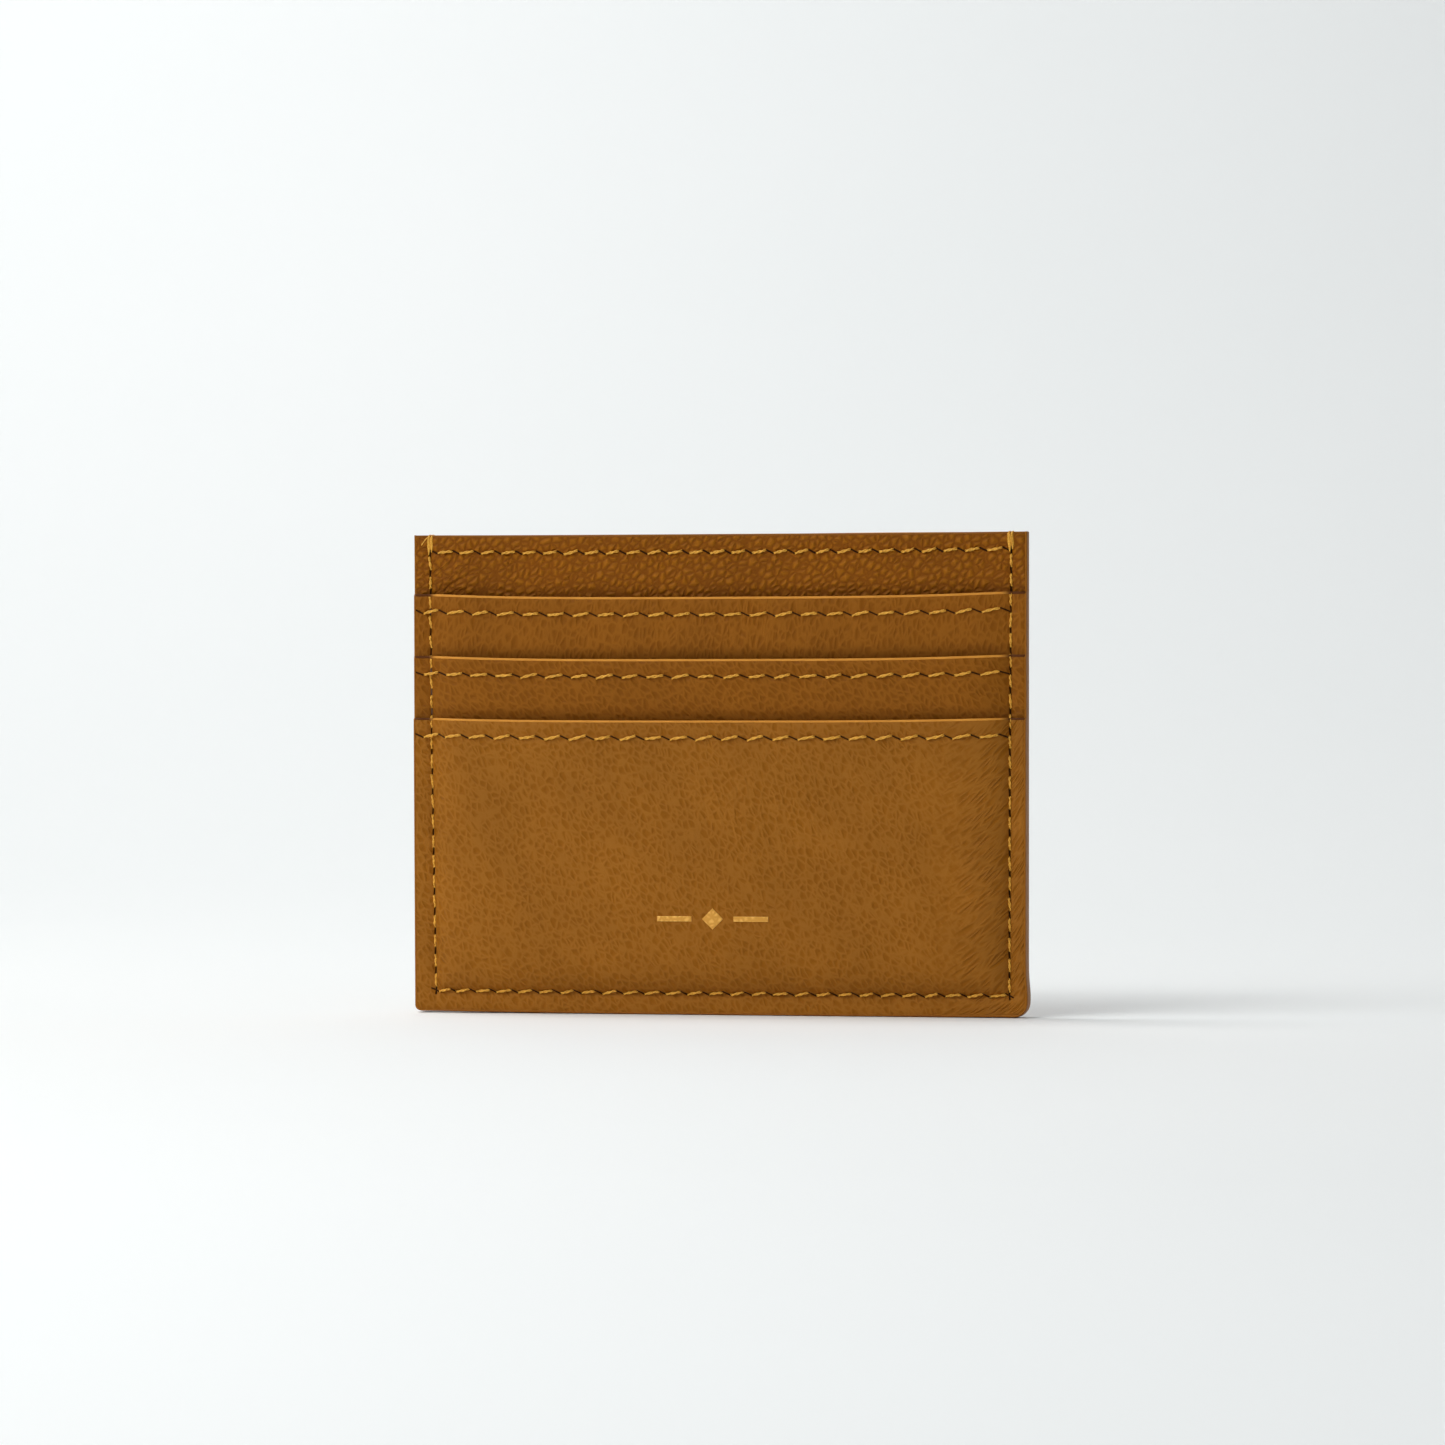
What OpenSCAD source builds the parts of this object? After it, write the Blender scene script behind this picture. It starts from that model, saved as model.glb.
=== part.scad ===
// Slim sewn leather card holder: three stepped card slots on the front and one
// centre pocket between the front half and the back half, open at the top.
// Millimetres. +X is the width, +Z is up, and the slots face -Y.
// The origin is the middle of the base edge, on the plane where the two halves
// are glued together, so the holder stands on Z = 0.
// "Depth" below is a distance outwards from that plane, to the front or to the back.

/* [Overall size] */
// Width over the painted side edges
case_w = 100; // [80:0.5:130]
// Height from the base to the top edge of the panels
case_h = 77.5; // [62:0.5:110]
// Radius of the two bottom corners
corner_r = 1.2; // [0.8:0.1:2.4]

/* [Slots] */
// Height of front panel that shows above the upper slot
top_strip_h = 9.9; // [7:0.1:14]
// Step from one slot's lip to the next
lip_step = 10; // [8:0.1:12]
// Space for a card in each front slot, front to back
card_gap = 0.85; // [0.4:0.05:1.6]
// Space in the centre pocket, front to back
centre_gap = 0.9; // [0.4:0.05:2]
// How far the front panel gives way towards the centre pocket
panel_dip = 1.2; // [0.4:0.1:2]
// How far each slot's leather runs on behind the next slot
facing_lap = 6; // [3:0.5:8]

/* [Leather and lining] */
// Thickness of the front and back panels
panel_t = 0.8; // [0.5:0.05:1.4]
// Thickness of the stiffening board behind each panel
board_t = 0.3; // [0.2:0.05:0.8]
// Thickness of the fabric linings
lining_t = 0.2; // [0.15:0.05:0.5]
// Thickness of the upper and middle slots' leather
facing_t = 0.5; // [0.3:0.05:0.9]
// Thickness of that leather where it is pared down for the side seams
facing_edge_t = 0.25; // [0.15:0.05:0.3]
// Thickness of the lower pocket's leather
pocket_t = 0.7; // [0.5:0.05:1.2]
// Thickness of the edge paint
coat_t = 0.25; // [0.15:0.05:0.4]

/* [Sewing] */
// Distance of the side seams from the side edges
side_margin = 3; // [2.5:0.1:5]
// Distance of the bottom seam from the base
base_margin = 3.5; // [2.5:0.1:5]
// Distance of each decorative row below its edge
row_drop = 2.9; // [2:0.1:4]
// Thickness of the sewing thread
thread_d = 0.45; // [0.3:0.05:0.6]
// Room between the thread and its needle hole, all round
needle_clearance = 0.08; // [0.04:0.01:0.15]
// Length of one stitch in the seams
seam_pitch = 3.4; // [2.5:0.1:5]
// Length of one stitch in the rows
row_pitch = 4.1; // [2.5:0.1:6]
// Flat leather between a seam and the start of the rise
seam_land = 0.9; // [0.7:0.1:2]
// Width of the slope on which the leather rises away from a seam
slope_w = 3.2; // [2:0.1:5]

/* [Ornament] */
// Overall width of the foil ornament
mark_w = 18; // [12:0.5:30]
// Height of the ornament's middle diamond
mark_h = 3.4; // [2:0.1:6]
// Height of the ornament's middle above the base
mark_z = 15.6; // [10:0.1:24]
// Thickness of the foil
foil_t = 0.06; // [0.03:0.01:0.1]
// How far the foil's bed is pressed into the leather
deboss_t = 0.12; // [0.1:0.01:0.2]

/* [Hidden] */

leather = "#9A6222";
leather_edge = "#A8713A";
fabric = "#6B4A2A";
card_board = "#C9B28A";
thread_colour = "#C48A2E";
foil_colour = "#D9A441";

// Heights of the three lips, and of the slots' floors. Every slot is equally deep.
upper_lip = case_h - top_strip_h;
middle_lip = upper_lip - lip_step;
lower_lip = middle_lip - lip_step;
middle_floor = base_margin + lip_step;
upper_floor = middle_floor + lip_step;

// Half widths: the side seams, the foot of the slopes and the flat middle.
seam_x = case_w / 2 - side_margin;
slope_foot_x = seam_x - seam_land;
flat_x = slope_foot_x - slope_w;

// Depths of the layers in the flat margins, from the glued plane outwards.
board_d = lining_t;
panel_d = board_d + board_t;
half_stack = panel_d + panel_t;
upper_d = half_stack;
middle_d = upper_d + lining_t;
pocket_d = middle_d + lining_t;
pocket_front_d = pocket_d + pocket_t;

// How far each layer stands away from its margin depth over the flat middle.
upper_rise = card_gap;
middle_rise = 2 * card_gap + facing_t;
pocket_rise = 3 * card_gap + 2 * facing_t;
back_rise = centre_gap + panel_dip;

// Needle holes.
hole_w = thread_d + 2 * needle_clearance;
// The legs of a decorative row go through the thinnest lined strip and no further.
leg_depth = lining_t + facing_edge_t;
bartack_z = case_h - row_drop - thread_d;
seam_top_z = bartack_z - 2 * hole_w;
through = 20;
cut_over = 1;

// ---- Shape of the layers -------------------------------------------------

function clamp01(t) = min(1, max(0, t));
function side_slope(x) = clamp01((slope_foot_x - abs(x)) / slope_w);
function floor_slope(z, floor_z) = clamp01((z - floor_z - seam_land) / slope_w);

// 0 in the sewn margins and 1 over the flat middle, with mitred slopes between.
function swell(x, z, floor_z) = min(side_slope(x), floor_slope(z, floor_z));
function sunk(x, z) = -panel_dip * swell(x, z, base_margin);

// Depth of each layer's inner face at a point.
lining_back = function(x, z) sunk(x, z);
board_back = function(x, z) board_d + sunk(x, z);
panel_back = function(x, z) panel_d + sunk(x, z);
upper_back = function(x, z) upper_d + sunk(x, z) + upper_rise * swell(x, z, upper_floor);
middle_back = function(x, z) middle_d + sunk(x, z) + middle_rise * swell(x, z, middle_floor);
pocket_back = function(x, z) pocket_d + sunk(x, z) + pocket_rise * swell(x, z, base_margin);
back_half = function(x, z) back_rise * swell(x, z, base_margin);

// Thickness of the slot leather: pared at the sides, full over the middle.
facing_thick = function(x) facing_edge_t + (facing_t - facing_edge_t) * side_slope(x);

// Places where a layer can bend: across its width, and up its height.
bends_x = [
    -case_w / 2 - cut_over, -slope_foot_x, -flat_x,
    flat_x, slope_foot_x, case_w / 2 + cut_over
];
function bends_z(z0, z1, floors) = [
    z0,
    for (f = floors) for (z = [f + seam_land, f + seam_land + slope_w])
        if (z > z0 && z < z1) z,
    z1
];

// A sheet that follows an inner face, given as a function of x and z, with a
// thickness given as a function of x. It is wider than the holder until trimmed.
module sheet(inner, thick, zs) {
    nx = len(bends_x);
    nz = len(zs);
    count = nx * nz;
    points = concat(
        [for (z = zs) for (x = bends_x) [x, -inner(x, z), z]],
        [for (z = zs) for (x = bends_x) [x, -inner(x, z) - thick(x), z]]
    );
    // Each cell of the outer face is two triangles, split along the mitre.
    outer = [
        for (j = [0:nz - 2]) for (i = [0:nx - 2])
            let (a = count + j * nx + i, b = a + 1, c = a + nx, d = c + 1)
                each (bends_x[i] < 0 ? [[a, c, d], [a, d, b]] : [[a, c, b], [b, c, d]])
    ];
    inner_faces = [for (f = outer) [f[2] - count, f[1] - count, f[0] - count]];
    low = [for (i = [0:nx - 2]) [i, count + i, count + i + 1, i + 1]];
    high = [
        for (i = [0:nx - 2])
            let (a = (nz - 1) * nx + i) [a + 1, count + a + 1, count + a, a]
    ];
    left = [
        for (j = [0:nz - 2])
            let (a = j * nx) [a + nx, count + a + nx, count + a, a]
    ];
    right = [
        for (j = [0:nz - 2])
            let (a = j * nx + nx - 1) [a, count + a, count + a + nx, a + nx]
    ];
    polyhedron(points, concat(outer, inner_faces, low, high, left, right));
}

// Outline of the holder, pulled in by inset, with its two round bottom corners.
module outline(inset, top) {
    half = case_w / 2 - inset;
    r = corner_r - inset;
    translate([-half + r, inset]) square([2 * (half - r), top - inset]);
    translate([-half, inset + r]) square([2 * half, top - inset - r]);
    for (side = [-1, 1])
        translate([side * (half - r), inset + r]) circle(r, $fn = 48);
}

module outline_block(inset, top) {
    rotate([90, 0, 0])
        linear_extrude(through, center = true)
            outline(inset, top);
}

// ---- Needle holes --------------------------------------------------------

function evenly(a, b, pitch) =
    let (n = max(1, round((b - a) / pitch)))
        [for (k = [0:n]) a + (b - a) * k / n];

side_holes = evenly(base_margin, seam_top_z, seam_pitch);
base_holes = evenly(-seam_x, seam_x, seam_pitch);
// A row has one stitch down each slope, and even stitches over the flat middle.
row_holes = concat([-slope_foot_x], evenly(-flat_x, flat_x, row_pitch), [slope_foot_x]);
floor_holes = evenly(-flat_x + hole_w, flat_x - hole_w, row_pitch);

module holes(xs, zs) {
    for (x = xs) for (z = zs)
        translate([x, 0, z]) cube([hole_w, through, hole_w], center = true);
}

module perimeter_holes() {
    holes([-seam_x, seam_x], concat(side_holes, [bartack_z]));
    holes([for (k = [1:len(base_holes) - 2]) base_holes[k]], [base_margin]);
}

// One layer of leather, board or fabric, cut to the outline and punched.
module layer(inner, thick, zs, row_zs = [], floor_zs = []) {
    difference() {
        intersection() {
            sheet(inner, thick, zs);
            outline_block(coat_t, case_h);
        }
        perimeter_holes();
        holes(row_holes, row_zs);
        holes(floor_holes, floor_zs);
    }
}

function same(t) = function(x) t;

// ---- Back half -----------------------------------------------------------

module back_half_layer(depth, t) {
    mirror([0, 1, 0])
        layer(
            function(x, z) depth + back_half(x, z), same(t),
            bends_z(0, case_h - coat_t, [base_margin]),
            row_zs = [case_h - row_drop]
        );
}

module back_panel() {
    color(leather) back_half_layer(panel_d, panel_t);
}

module back_board() {
    color(card_board) back_half_layer(board_d, board_t);
}

module back_lining() {
    color(fabric) back_half_layer(0, lining_t);
}

// ---- Front half ----------------------------------------------------------

module front_half_layer(inner, t, floor_zs = []) {
    layer(
        inner, same(t),
        bends_z(0, case_h - coat_t, [base_margin]),
        row_zs = [case_h - row_drop], floor_zs = floor_zs
    );
}

module front_lining() {
    color(fabric) front_half_layer(lining_back, lining_t);
}

module front_board() {
    color(card_board) front_half_layer(board_back, board_t);
}

module front_panel() {
    color(leather)
        front_half_layer(panel_back, panel_t, floor_zs = [middle_floor, upper_floor]);
}

// ---- Slots ---------------------------------------------------------------

module slot_lining(inner, floor_z, lip_z, floor_zs) {
    color(fabric)
        layer(
            inner, same(lining_t),
            bends_z(0, lip_z - coat_t, [base_margin, floor_z]),
            row_zs = [lip_z - row_drop], floor_zs = floor_zs
        );
}

// Slot leather: a strip right across, with a tab that runs on down behind the
// next slot between the seams, so that the margins don't build up.
module slot_facing(inner, lip_z) {
    front_of_lining = function(x, z) inner(x, z) + lining_t;
    next_lip = lip_z - lip_step;
    color(leather) {
        layer(
            front_of_lining, facing_thick, [next_lip, lip_z - coat_t],
            row_zs = [lip_z - row_drop]
        );
        translate([-flat_x, -front_of_lining(0, next_lip) - facing_t, next_lip - facing_lap])
            cube([2 * flat_x, facing_t, facing_lap]);
    }
}

module upper_slot_lining() {
    slot_lining(upper_back, upper_floor, upper_lip, [middle_floor, upper_floor]);
}

module upper_slot_facing() {
    slot_facing(upper_back, upper_lip);
}

module middle_slot_lining() {
    slot_lining(middle_back, middle_floor, middle_lip, [middle_floor]);
}

module middle_slot_facing() {
    slot_facing(middle_back, middle_lip);
}

mark_front_d = pocket_back(0, mark_z) + pocket_t;
bar_w = (mark_w - 2 * mark_h) / 2;
bar_h = mark_h / 4;

// A diamond between two short bars.
module mark_outline() {
    reach = mark_h / 2;
    polygon([[-reach, 0], [0, reach], [reach, 0], [0, -reach]]);
    for (side = [-1, 1])
        translate([side * (mark_w - bar_w) / 2, 0])
            square([bar_w, bar_h], center = true);
}

module mark_block(from_d, to_d) {
    translate([0, -from_d, mark_z])
        rotate([90, 0, 0])
            linear_extrude(to_d - from_d)
                mark_outline();
}

module lower_pocket() {
    color(leather)
        difference() {
            layer(
                pocket_back, same(pocket_t),
                bends_z(0, lower_lip - coat_t, [base_margin]),
                row_zs = [lower_lip - row_drop]
            );
            mark_block(mark_front_d - deboss_t, mark_front_d + cut_over);
        }
}

module foil_ornament() {
    color(foil_colour)
        mark_block(mark_front_d - deboss_t, mark_front_d - deboss_t + foil_t);
}

// ---- Edge paint ----------------------------------------------------------

// Depth of the front face in the flat margin, between two heights.
function margin_front(z) =
    z > upper_lip ? half_stack :
    z > middle_lip ? upper_d + lining_t + facing_edge_t :
    z > lower_lip ? middle_d + lining_t + facing_edge_t :
    pocket_front_d;

margin_steps = [0, lower_lip, middle_lip, upper_lip, case_h];

module perimeter_edge_coat() {
    color(leather_edge)
        difference() {
            intersection() {
                outline_block(0, case_h);
                for (k = [0:len(margin_steps) - 2])
                    let (
                        z0 = margin_steps[k],
                        z1 = margin_steps[k + 1],
                        front = margin_front((z0 + z1) / 2)
                    )
                        translate([-case_w / 2, -front, z0])
                            cube([case_w, front + half_stack, z1 - z0]);
            }
            outline_block(coat_t, case_h + cut_over);
        }
}

// Paint along an upper edge, as thick as the layers that it covers.
module edge_strip(inner, thick, top) {
    color(leather_edge)
        difference() {
            intersection() {
                sheet(inner, thick, [top - coat_t, top]);
                outline_block(coat_t, case_h);
            }
            perimeter_holes();
        }
}

module front_top_edge_coat() {
    edge_strip(lining_back, same(half_stack), case_h);
}

module back_top_edge_coat() {
    mirror([0, 1, 0]) edge_strip(back_half, same(half_stack), case_h);
}

lined_facing = function(x) lining_t + facing_thick(x);

module upper_lip_coat() {
    edge_strip(upper_back, lined_facing, upper_lip);
}

module middle_lip_coat() {
    edge_strip(middle_back, lined_facing, middle_lip);
}

module lower_lip_coat() {
    edge_strip(pocket_back, same(pocket_t), lower_lip);
}

// ---- Sewing --------------------------------------------------------------

// Outline of one stitch from hole a to hole b, lying on a face whose depth is
// from at a and to at b. Its ends taper down into the holes.
module stitch(a, b, from, to) {
    taper = thread_d / 2;
    polygon([
        [a, -from], [a + taper, -from - thread_d],
        [b - taper, -to - thread_d], [b, -to]
    ]);
}

// A row of stitches on a face, with a leg down every hole to the depth root(p).
// face(p, q) is the depth that the stitch between p and q lies on, at p.
module row_outline(ps, face, root) {
    last = len(ps) - 1;
    for (k = [0:last - 1])
        stitch(ps[k], ps[k + 1], face(ps[k], ps[k + 1]), face(ps[k + 1], ps[k]));
    for (k = [0:last])
        let (
            before = face(ps[k], ps[max(k - 1, 0)]),
            after = face(ps[k], ps[min(k + 1, last)]),
            outer = max(before, after) + thread_d / 2
        )
            translate([ps[k] - thread_d / 2, -outer])
                square([thread_d, outer - root(ps[k])]);
}

// A row across the width: its outline is drawn in X and Y, and is a thread tall.
module row_thread(z, skin, root, ps) {
    translate([0, 0, z])
        linear_extrude(thread_d, center = true)
            row_outline(ps, function(p, q) skin(p), root);
}

module lip_row(inner, thick, lip_z) {
    z = lip_z - row_drop;
    skin = function(x) inner(x, z) + thick(x);
    color(thread_colour)
        row_thread(z, skin, function(x) skin(x) - leg_depth, row_holes);
}

module upper_lip_row_thread() {
    lip_row(upper_back, lined_facing, upper_lip);
}

module middle_lip_row_thread() {
    lip_row(middle_back, lined_facing, middle_lip);
}

module lower_lip_row_thread() {
    lip_row(pocket_back, same(pocket_t), lower_lip);
}

module front_top_row_thread() {
    lip_row(lining_back, same(half_stack), case_h);
}

module back_top_row_thread() {
    mirror([0, 1, 0]) lip_row(back_half, same(half_stack), case_h);
}

// The floor of a slot: its lining is sewn down to the front panel.
module floor_seam(inner, z) {
    skin = function(x) inner(x, z) + lining_t;
    color(thread_colour)
        row_thread(z, skin, function(x) panel_back(x, z), floor_holes);
}

module upper_floor_seam_thread() {
    floor_seam(upper_back, upper_floor);
}

module middle_floor_seam_thread() {
    floor_seam(middle_back, middle_floor);
}

// The seam round three sides goes through every layer and shows on both faces.
module perimeter_seam_thread() {
    side_face = function(p, q) max(margin_front(p), margin_front(q));
    base_face = function(p, q) pocket_front_d;
    back_face = function(p, q) half_stack;
    middle = function(p) 0;
    color(thread_colour) {
        for (side = [-1, 1])
            translate([side * seam_x, 0, 0])
                rotate([0, -90, 0])
                    linear_extrude(thread_d, center = true) {
                        row_outline(side_holes, side_face, middle);
                        mirror([0, 1]) row_outline(side_holes, back_face, middle);
                    }
        translate([0, 0, base_margin])
            linear_extrude(thread_d, center = true) {
                row_outline(base_holes, base_face, middle);
                mirror([0, 1]) row_outline(base_holes, back_face, middle);
            }
    }
}

// Two strands side by side over the top edge, through one needle hole.
module bartack(side) {
    strand = 2 * thread_d;
    face_d = half_stack;
    low = bartack_z - thread_d / 2;
    color(thread_colour)
        translate([side * seam_x, 0, 0]) {
            translate([-strand / 2, -face_d - thread_d, low])
                difference() {
                    cube([strand, 2 * (face_d + thread_d), case_h + thread_d - low]);
                    translate([-cut_over, thread_d, -cut_over])
                        cube([strand + 2 * cut_over, 2 * face_d, case_h - low + cut_over]);
                }
            translate([-thread_d / 2, -face_d - thread_d, low])
                cube([thread_d, 2 * (face_d + thread_d), thread_d]);
        }
}

module left_bartack() {
    bartack(-1);
}

module right_bartack() {
    bartack(1);
}

back_panel();
back_board();
back_lining();
front_lining();
front_board();
front_panel();
upper_slot_lining();
upper_slot_facing();
middle_slot_lining();
middle_slot_facing();
lower_pocket();
foil_ornament();
perimeter_edge_coat();
front_top_edge_coat();
back_top_edge_coat();
upper_lip_coat();
middle_lip_coat();
lower_lip_coat();
perimeter_seam_thread();
front_top_row_thread();
back_top_row_thread();
upper_lip_row_thread();
middle_lip_row_thread();
lower_lip_row_thread();
upper_floor_seam_thread();
middle_floor_seam_thread();
left_bartack();
right_bartack();
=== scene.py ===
# %% [markdown]
# # A slim sewn card holder
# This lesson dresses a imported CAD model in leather, fabric, thread and edge paint. The CAD
# model already fixes every size, so each piece here starts from the frame and rides on it.

# %% Load the frame
import math
from functools import reduce

import bmesh
import bpy
import numpy as np
from mathutils import Matrix, Vector


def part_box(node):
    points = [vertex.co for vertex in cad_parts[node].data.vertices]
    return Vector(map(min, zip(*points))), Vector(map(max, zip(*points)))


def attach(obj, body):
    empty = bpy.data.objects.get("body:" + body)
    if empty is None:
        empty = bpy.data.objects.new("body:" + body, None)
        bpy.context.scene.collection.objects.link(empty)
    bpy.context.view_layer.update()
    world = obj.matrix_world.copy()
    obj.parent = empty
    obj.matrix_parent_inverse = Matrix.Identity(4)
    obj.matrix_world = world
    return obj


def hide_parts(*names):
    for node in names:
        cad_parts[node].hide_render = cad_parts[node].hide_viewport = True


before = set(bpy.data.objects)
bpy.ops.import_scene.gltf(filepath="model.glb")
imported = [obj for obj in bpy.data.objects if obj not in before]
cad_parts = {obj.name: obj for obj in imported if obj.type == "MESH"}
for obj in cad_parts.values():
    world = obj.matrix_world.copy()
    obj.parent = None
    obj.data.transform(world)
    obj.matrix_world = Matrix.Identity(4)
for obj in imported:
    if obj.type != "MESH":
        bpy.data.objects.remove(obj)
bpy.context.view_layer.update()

print("CAD nodes:", len(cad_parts))

# %% [markdown]
# ## Sizes from the frame
# Leather goods are drawn in millimetres, and the scene is in metres. The outline, the lips and
# the seams are read from the boxes of the CAD nodes, so they are never typed twice. "Depth" is
# a distance outwards from the glued middle plane, to the front or to the back.

# %% Read the outline, the lips and the seams
MM = 0.001
LOW, HIGH = 0, 1
X_AXIS, Y_AXIS, Z_AXIS = 0, 1, 2


def limit(node, side, axis):
    """One limit of a CAD node's box, in millimetres."""
    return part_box(node)[side][axis] / MM


thread_d = 0.45
half_w = limit("perimeter_edge_coat", HIGH, X_AXIS)
case_h = limit("perimeter_edge_coat", HIGH, Z_AXIS)
half_stack = limit("perimeter_edge_coat", HIGH, Y_AXIS)
pocket_margin_d = -limit("perimeter_edge_coat", LOW, Y_AXIS)
coat_t = half_w - limit("front_panel", HIGH, X_AXIS)
leather_half_w = half_w - coat_t
leather_low = limit("front_panel", LOW, Z_AXIS)
seam_x = limit("perimeter_seam_thread", HIGH, X_AXIS) - thread_d / 2
seam_z = limit("perimeter_seam_thread", LOW, Z_AXIS) + thread_d / 2
upper_lip = limit("upper_lip_coat", HIGH, Z_AXIS)
middle_lip = limit("middle_lip_coat", HIGH, Z_AXIS)
lower_lip = limit("lower_lip_coat", HIGH, Z_AXIS)
row_drop = upper_lip - limit("upper_lip_row_thread", HIGH, Z_AXIS) + thread_d / 2
print(f"outline {2 * half_w:.1f} x {case_h:.1f}, row drop {row_drop:.2f}")
print(f"seams at {seam_x:.2f} and {seam_z:.2f}")

# %% [markdown]
# ## How the layers lie when the slots are empty
# With no cards in it the holder is nearly flat: the layers are glued and sewn tight at three
# sides, and over the middle each slot's leather rests a little proud of the one behind it. Each
# layer has a depth in the sewn margin and a rise that it gains away from the seam.

# %% Name the layers' depths and rises
lining_t, board_t, panel_t = 0.2, 0.3, 0.8
facing_t, facing_edge_t, pocket_t = 0.5, 0.25, 0.7
slot_gap = 0.5
front_rise = 0.2
back_rise = 1.0
upper_rise = front_rise + slot_gap
middle_rise = upper_rise + facing_t + slot_gap
pocket_rise = middle_rise + facing_t + slot_gap
upper_d = half_stack
middle_d = upper_d + lining_t
pocket_d = middle_d + lining_t
print(f"the pocket's face stands out {pocket_d + pocket_rise + pocket_t:.2f} mm")

# %% [markdown]
# ## One rule for the soft shape
# Sewn leather is lowest along its seam and swells quickly beside it, like a quilt. One function
# gives the distance from the seam, and a second turns it into a swell from 0 to 1. Every layer
# uses the same rule, so no layer cuts through the next.

# %% Define the seam distance and the swell
swell_length = 2.3


def smooth_min(a, b, k):
    """The smaller of two numbers, with a rounded change from one to the other."""
    blend = np.maximum(k - np.abs(a - b), 0) / k
    return np.minimum(a, b) - blend * blend * k / 4


def seam_distance(x, z):
    """Distance inwards from the seam, and less than 0 in the margin outside it."""
    return smooth_min(seam_x - np.abs(x), z - seam_z, 2.0)


def swell(x, z):
    inside = np.maximum(seam_distance(x, z), 0)
    return 1 - np.exp(-inside / swell_length)


def hump(value, middle, width):
    """A soft bump, 1 at the middle and near 0 beyond twice the width."""
    return np.exp(-(((value - middle) / width) ** 2))


print("swell 1, 3 and 10 mm in:", np.round(swell(seam_x - np.array([1, 3, 10.0]), 40.0), 2))

# %% [markdown]
# ## Hand-made irregularity
# No hand-sewn edge is dead straight: the left seam leans in towards the base, the lips sag a
# little in the middle, the base arches up at its corners, and the lower right corner has spread.
# A warp moves every piece in the same way, so stitches stay in their holes.

# %% Define the warp
sag_heights = [0, seam_z, lower_lip, middle_lip, upper_lip, case_h]
sag_depths = [0, 0, 0.42, 0.6, 0.64, 0.08]
flat_half_w, flat_power = 46, 3.5
top_dip, margin_puff = 0.38, 0.14
edge_lean, left_out, left_lean = 0.42, 0.42, 1.5
right_out, right_lean = 0.45, 0.15
corner_z, corner_reach, corner_spread = 3.2, 2.6, 0.28
seam_reach, arch_height = 9.0, 14
left_arch, right_arch = 0.22, 0.1


def clamped(value):
    """A value kept between 0 and 1."""
    return np.clip(value, 0, 1)


def warp(x, depth, z, side=-1):
    """Places nominal points as the worn, sewn object has them. side -1 is the front, 1 the back."""
    low, margin = clamped(1 - z / case_h), half_w - seam_x
    left_edge = -half_w + edge_lean * low
    left_seam = -seam_x - left_out + left_lean * low
    right_seam = seam_x + right_out - right_lean * low
    right_edge = half_w + corner_spread * hump(z, corner_z, corner_reach)
    left_fade = clamped(1 - (x + seam_x) / seam_reach) ** 2
    right_fade = clamped(1 - (seam_x - x) / seam_reach) ** 2
    inner = x + (left_seam + seam_x) * left_fade + (right_seam - seam_x) * right_fade
    left_part, right_part = (x + half_w) / margin, (x - seam_x) / margin
    out = np.where(x < -seam_x, left_edge + (left_seam - left_edge) * left_part, inner)
    out = np.where(x > seam_x, right_seam + (right_edge - right_seam) * right_part, out)
    flat = clamped(1 - (np.abs(x) / flat_half_w) ** flat_power)
    height = z - np.interp(z, sag_heights, sag_depths) * flat
    arch = left_arch * clamped(-x / half_w) ** 2 + right_arch * clamped(x / half_w) ** 4
    height = height + arch * clamped(1 - z / arch_height)
    dip = top_dip * clamped((z - upper_lip) / (case_h - upper_lip))
    puff = 1 + (margin_puff if side < 0 else 0.0) * clamped((np.abs(x) - seam_x) / margin)
    return np.stack([out, side * depth * puff, height - dip], axis=-1) * MM


print("lower left corner goes to", np.round(warp(np.array(-half_w), 0.0, np.array(0.0)) / MM, 2))

# %% [markdown]
# ## Needle holes and rows
# A sewing machine spaces its holes evenly. Each row is a list of holes on one line; the holes
# are used twice, for the dark slits that the needle leaves in the leather and for the stitches.

# %% Space the needle holes
row_pitch, seam_pitch, top_pitch = 4.07, 3.2, 3.45


def evenly(a, b, pitch):
    return np.linspace(a, b, max(2, round(abs(b - a) / pitch) + 1))


bartack_z = case_h - row_drop - 0.3
side_holes = evenly(seam_z, bartack_z, seam_pitch)
base_holes = evenly(-seam_x, seam_x, seam_pitch + 0.25)
lip_holes = evenly(-seam_x - 2.0, seam_x - 0.8, row_pitch)
top_holes = evenly(-seam_x + 0.7, seam_x - 0.7, top_pitch)
print("holes:", *(len(holes) for holes in (side_holes, base_holes, lip_holes, top_holes)))

# %% [markdown]
# ## The groove a row leaves in leather
# Thread tension pulls a shallow groove along each row, deepest at the needle holes, so that the
# leather looks quilted between them. The groove is real shape in the mesh. The narrow dark slit
# at each hole is much finer than the mesh, so it comes later, in the leather's material.

# %% Define the grooves
def nearest(holes, value):
    """Distance along a row to the nearest hole."""
    step = holes[1] - holes[0]
    index = np.clip(np.round((value - holes[0]) / step), 0, len(holes) - 1)
    return value - (holes[0] + index * step)


def groove(along, across, holes, width):
    step = holes[1] - holes[0]
    reach = (along > holes[0] - step) & (along < holes[-1] + step)
    pinch = 0.75 + 0.25 * np.cos(2 * math.pi * nearest(holes, along) / step)
    return hump(across, 0, width) * pinch * reach


def seam_grooves(x, z):
    """The groove of the seam round three sides."""
    sides = groove(z, np.abs(x) - seam_x, side_holes, 0.5)
    base = groove(x, z - seam_z, base_holes, 0.55)
    return np.maximum(sides, base)


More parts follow.
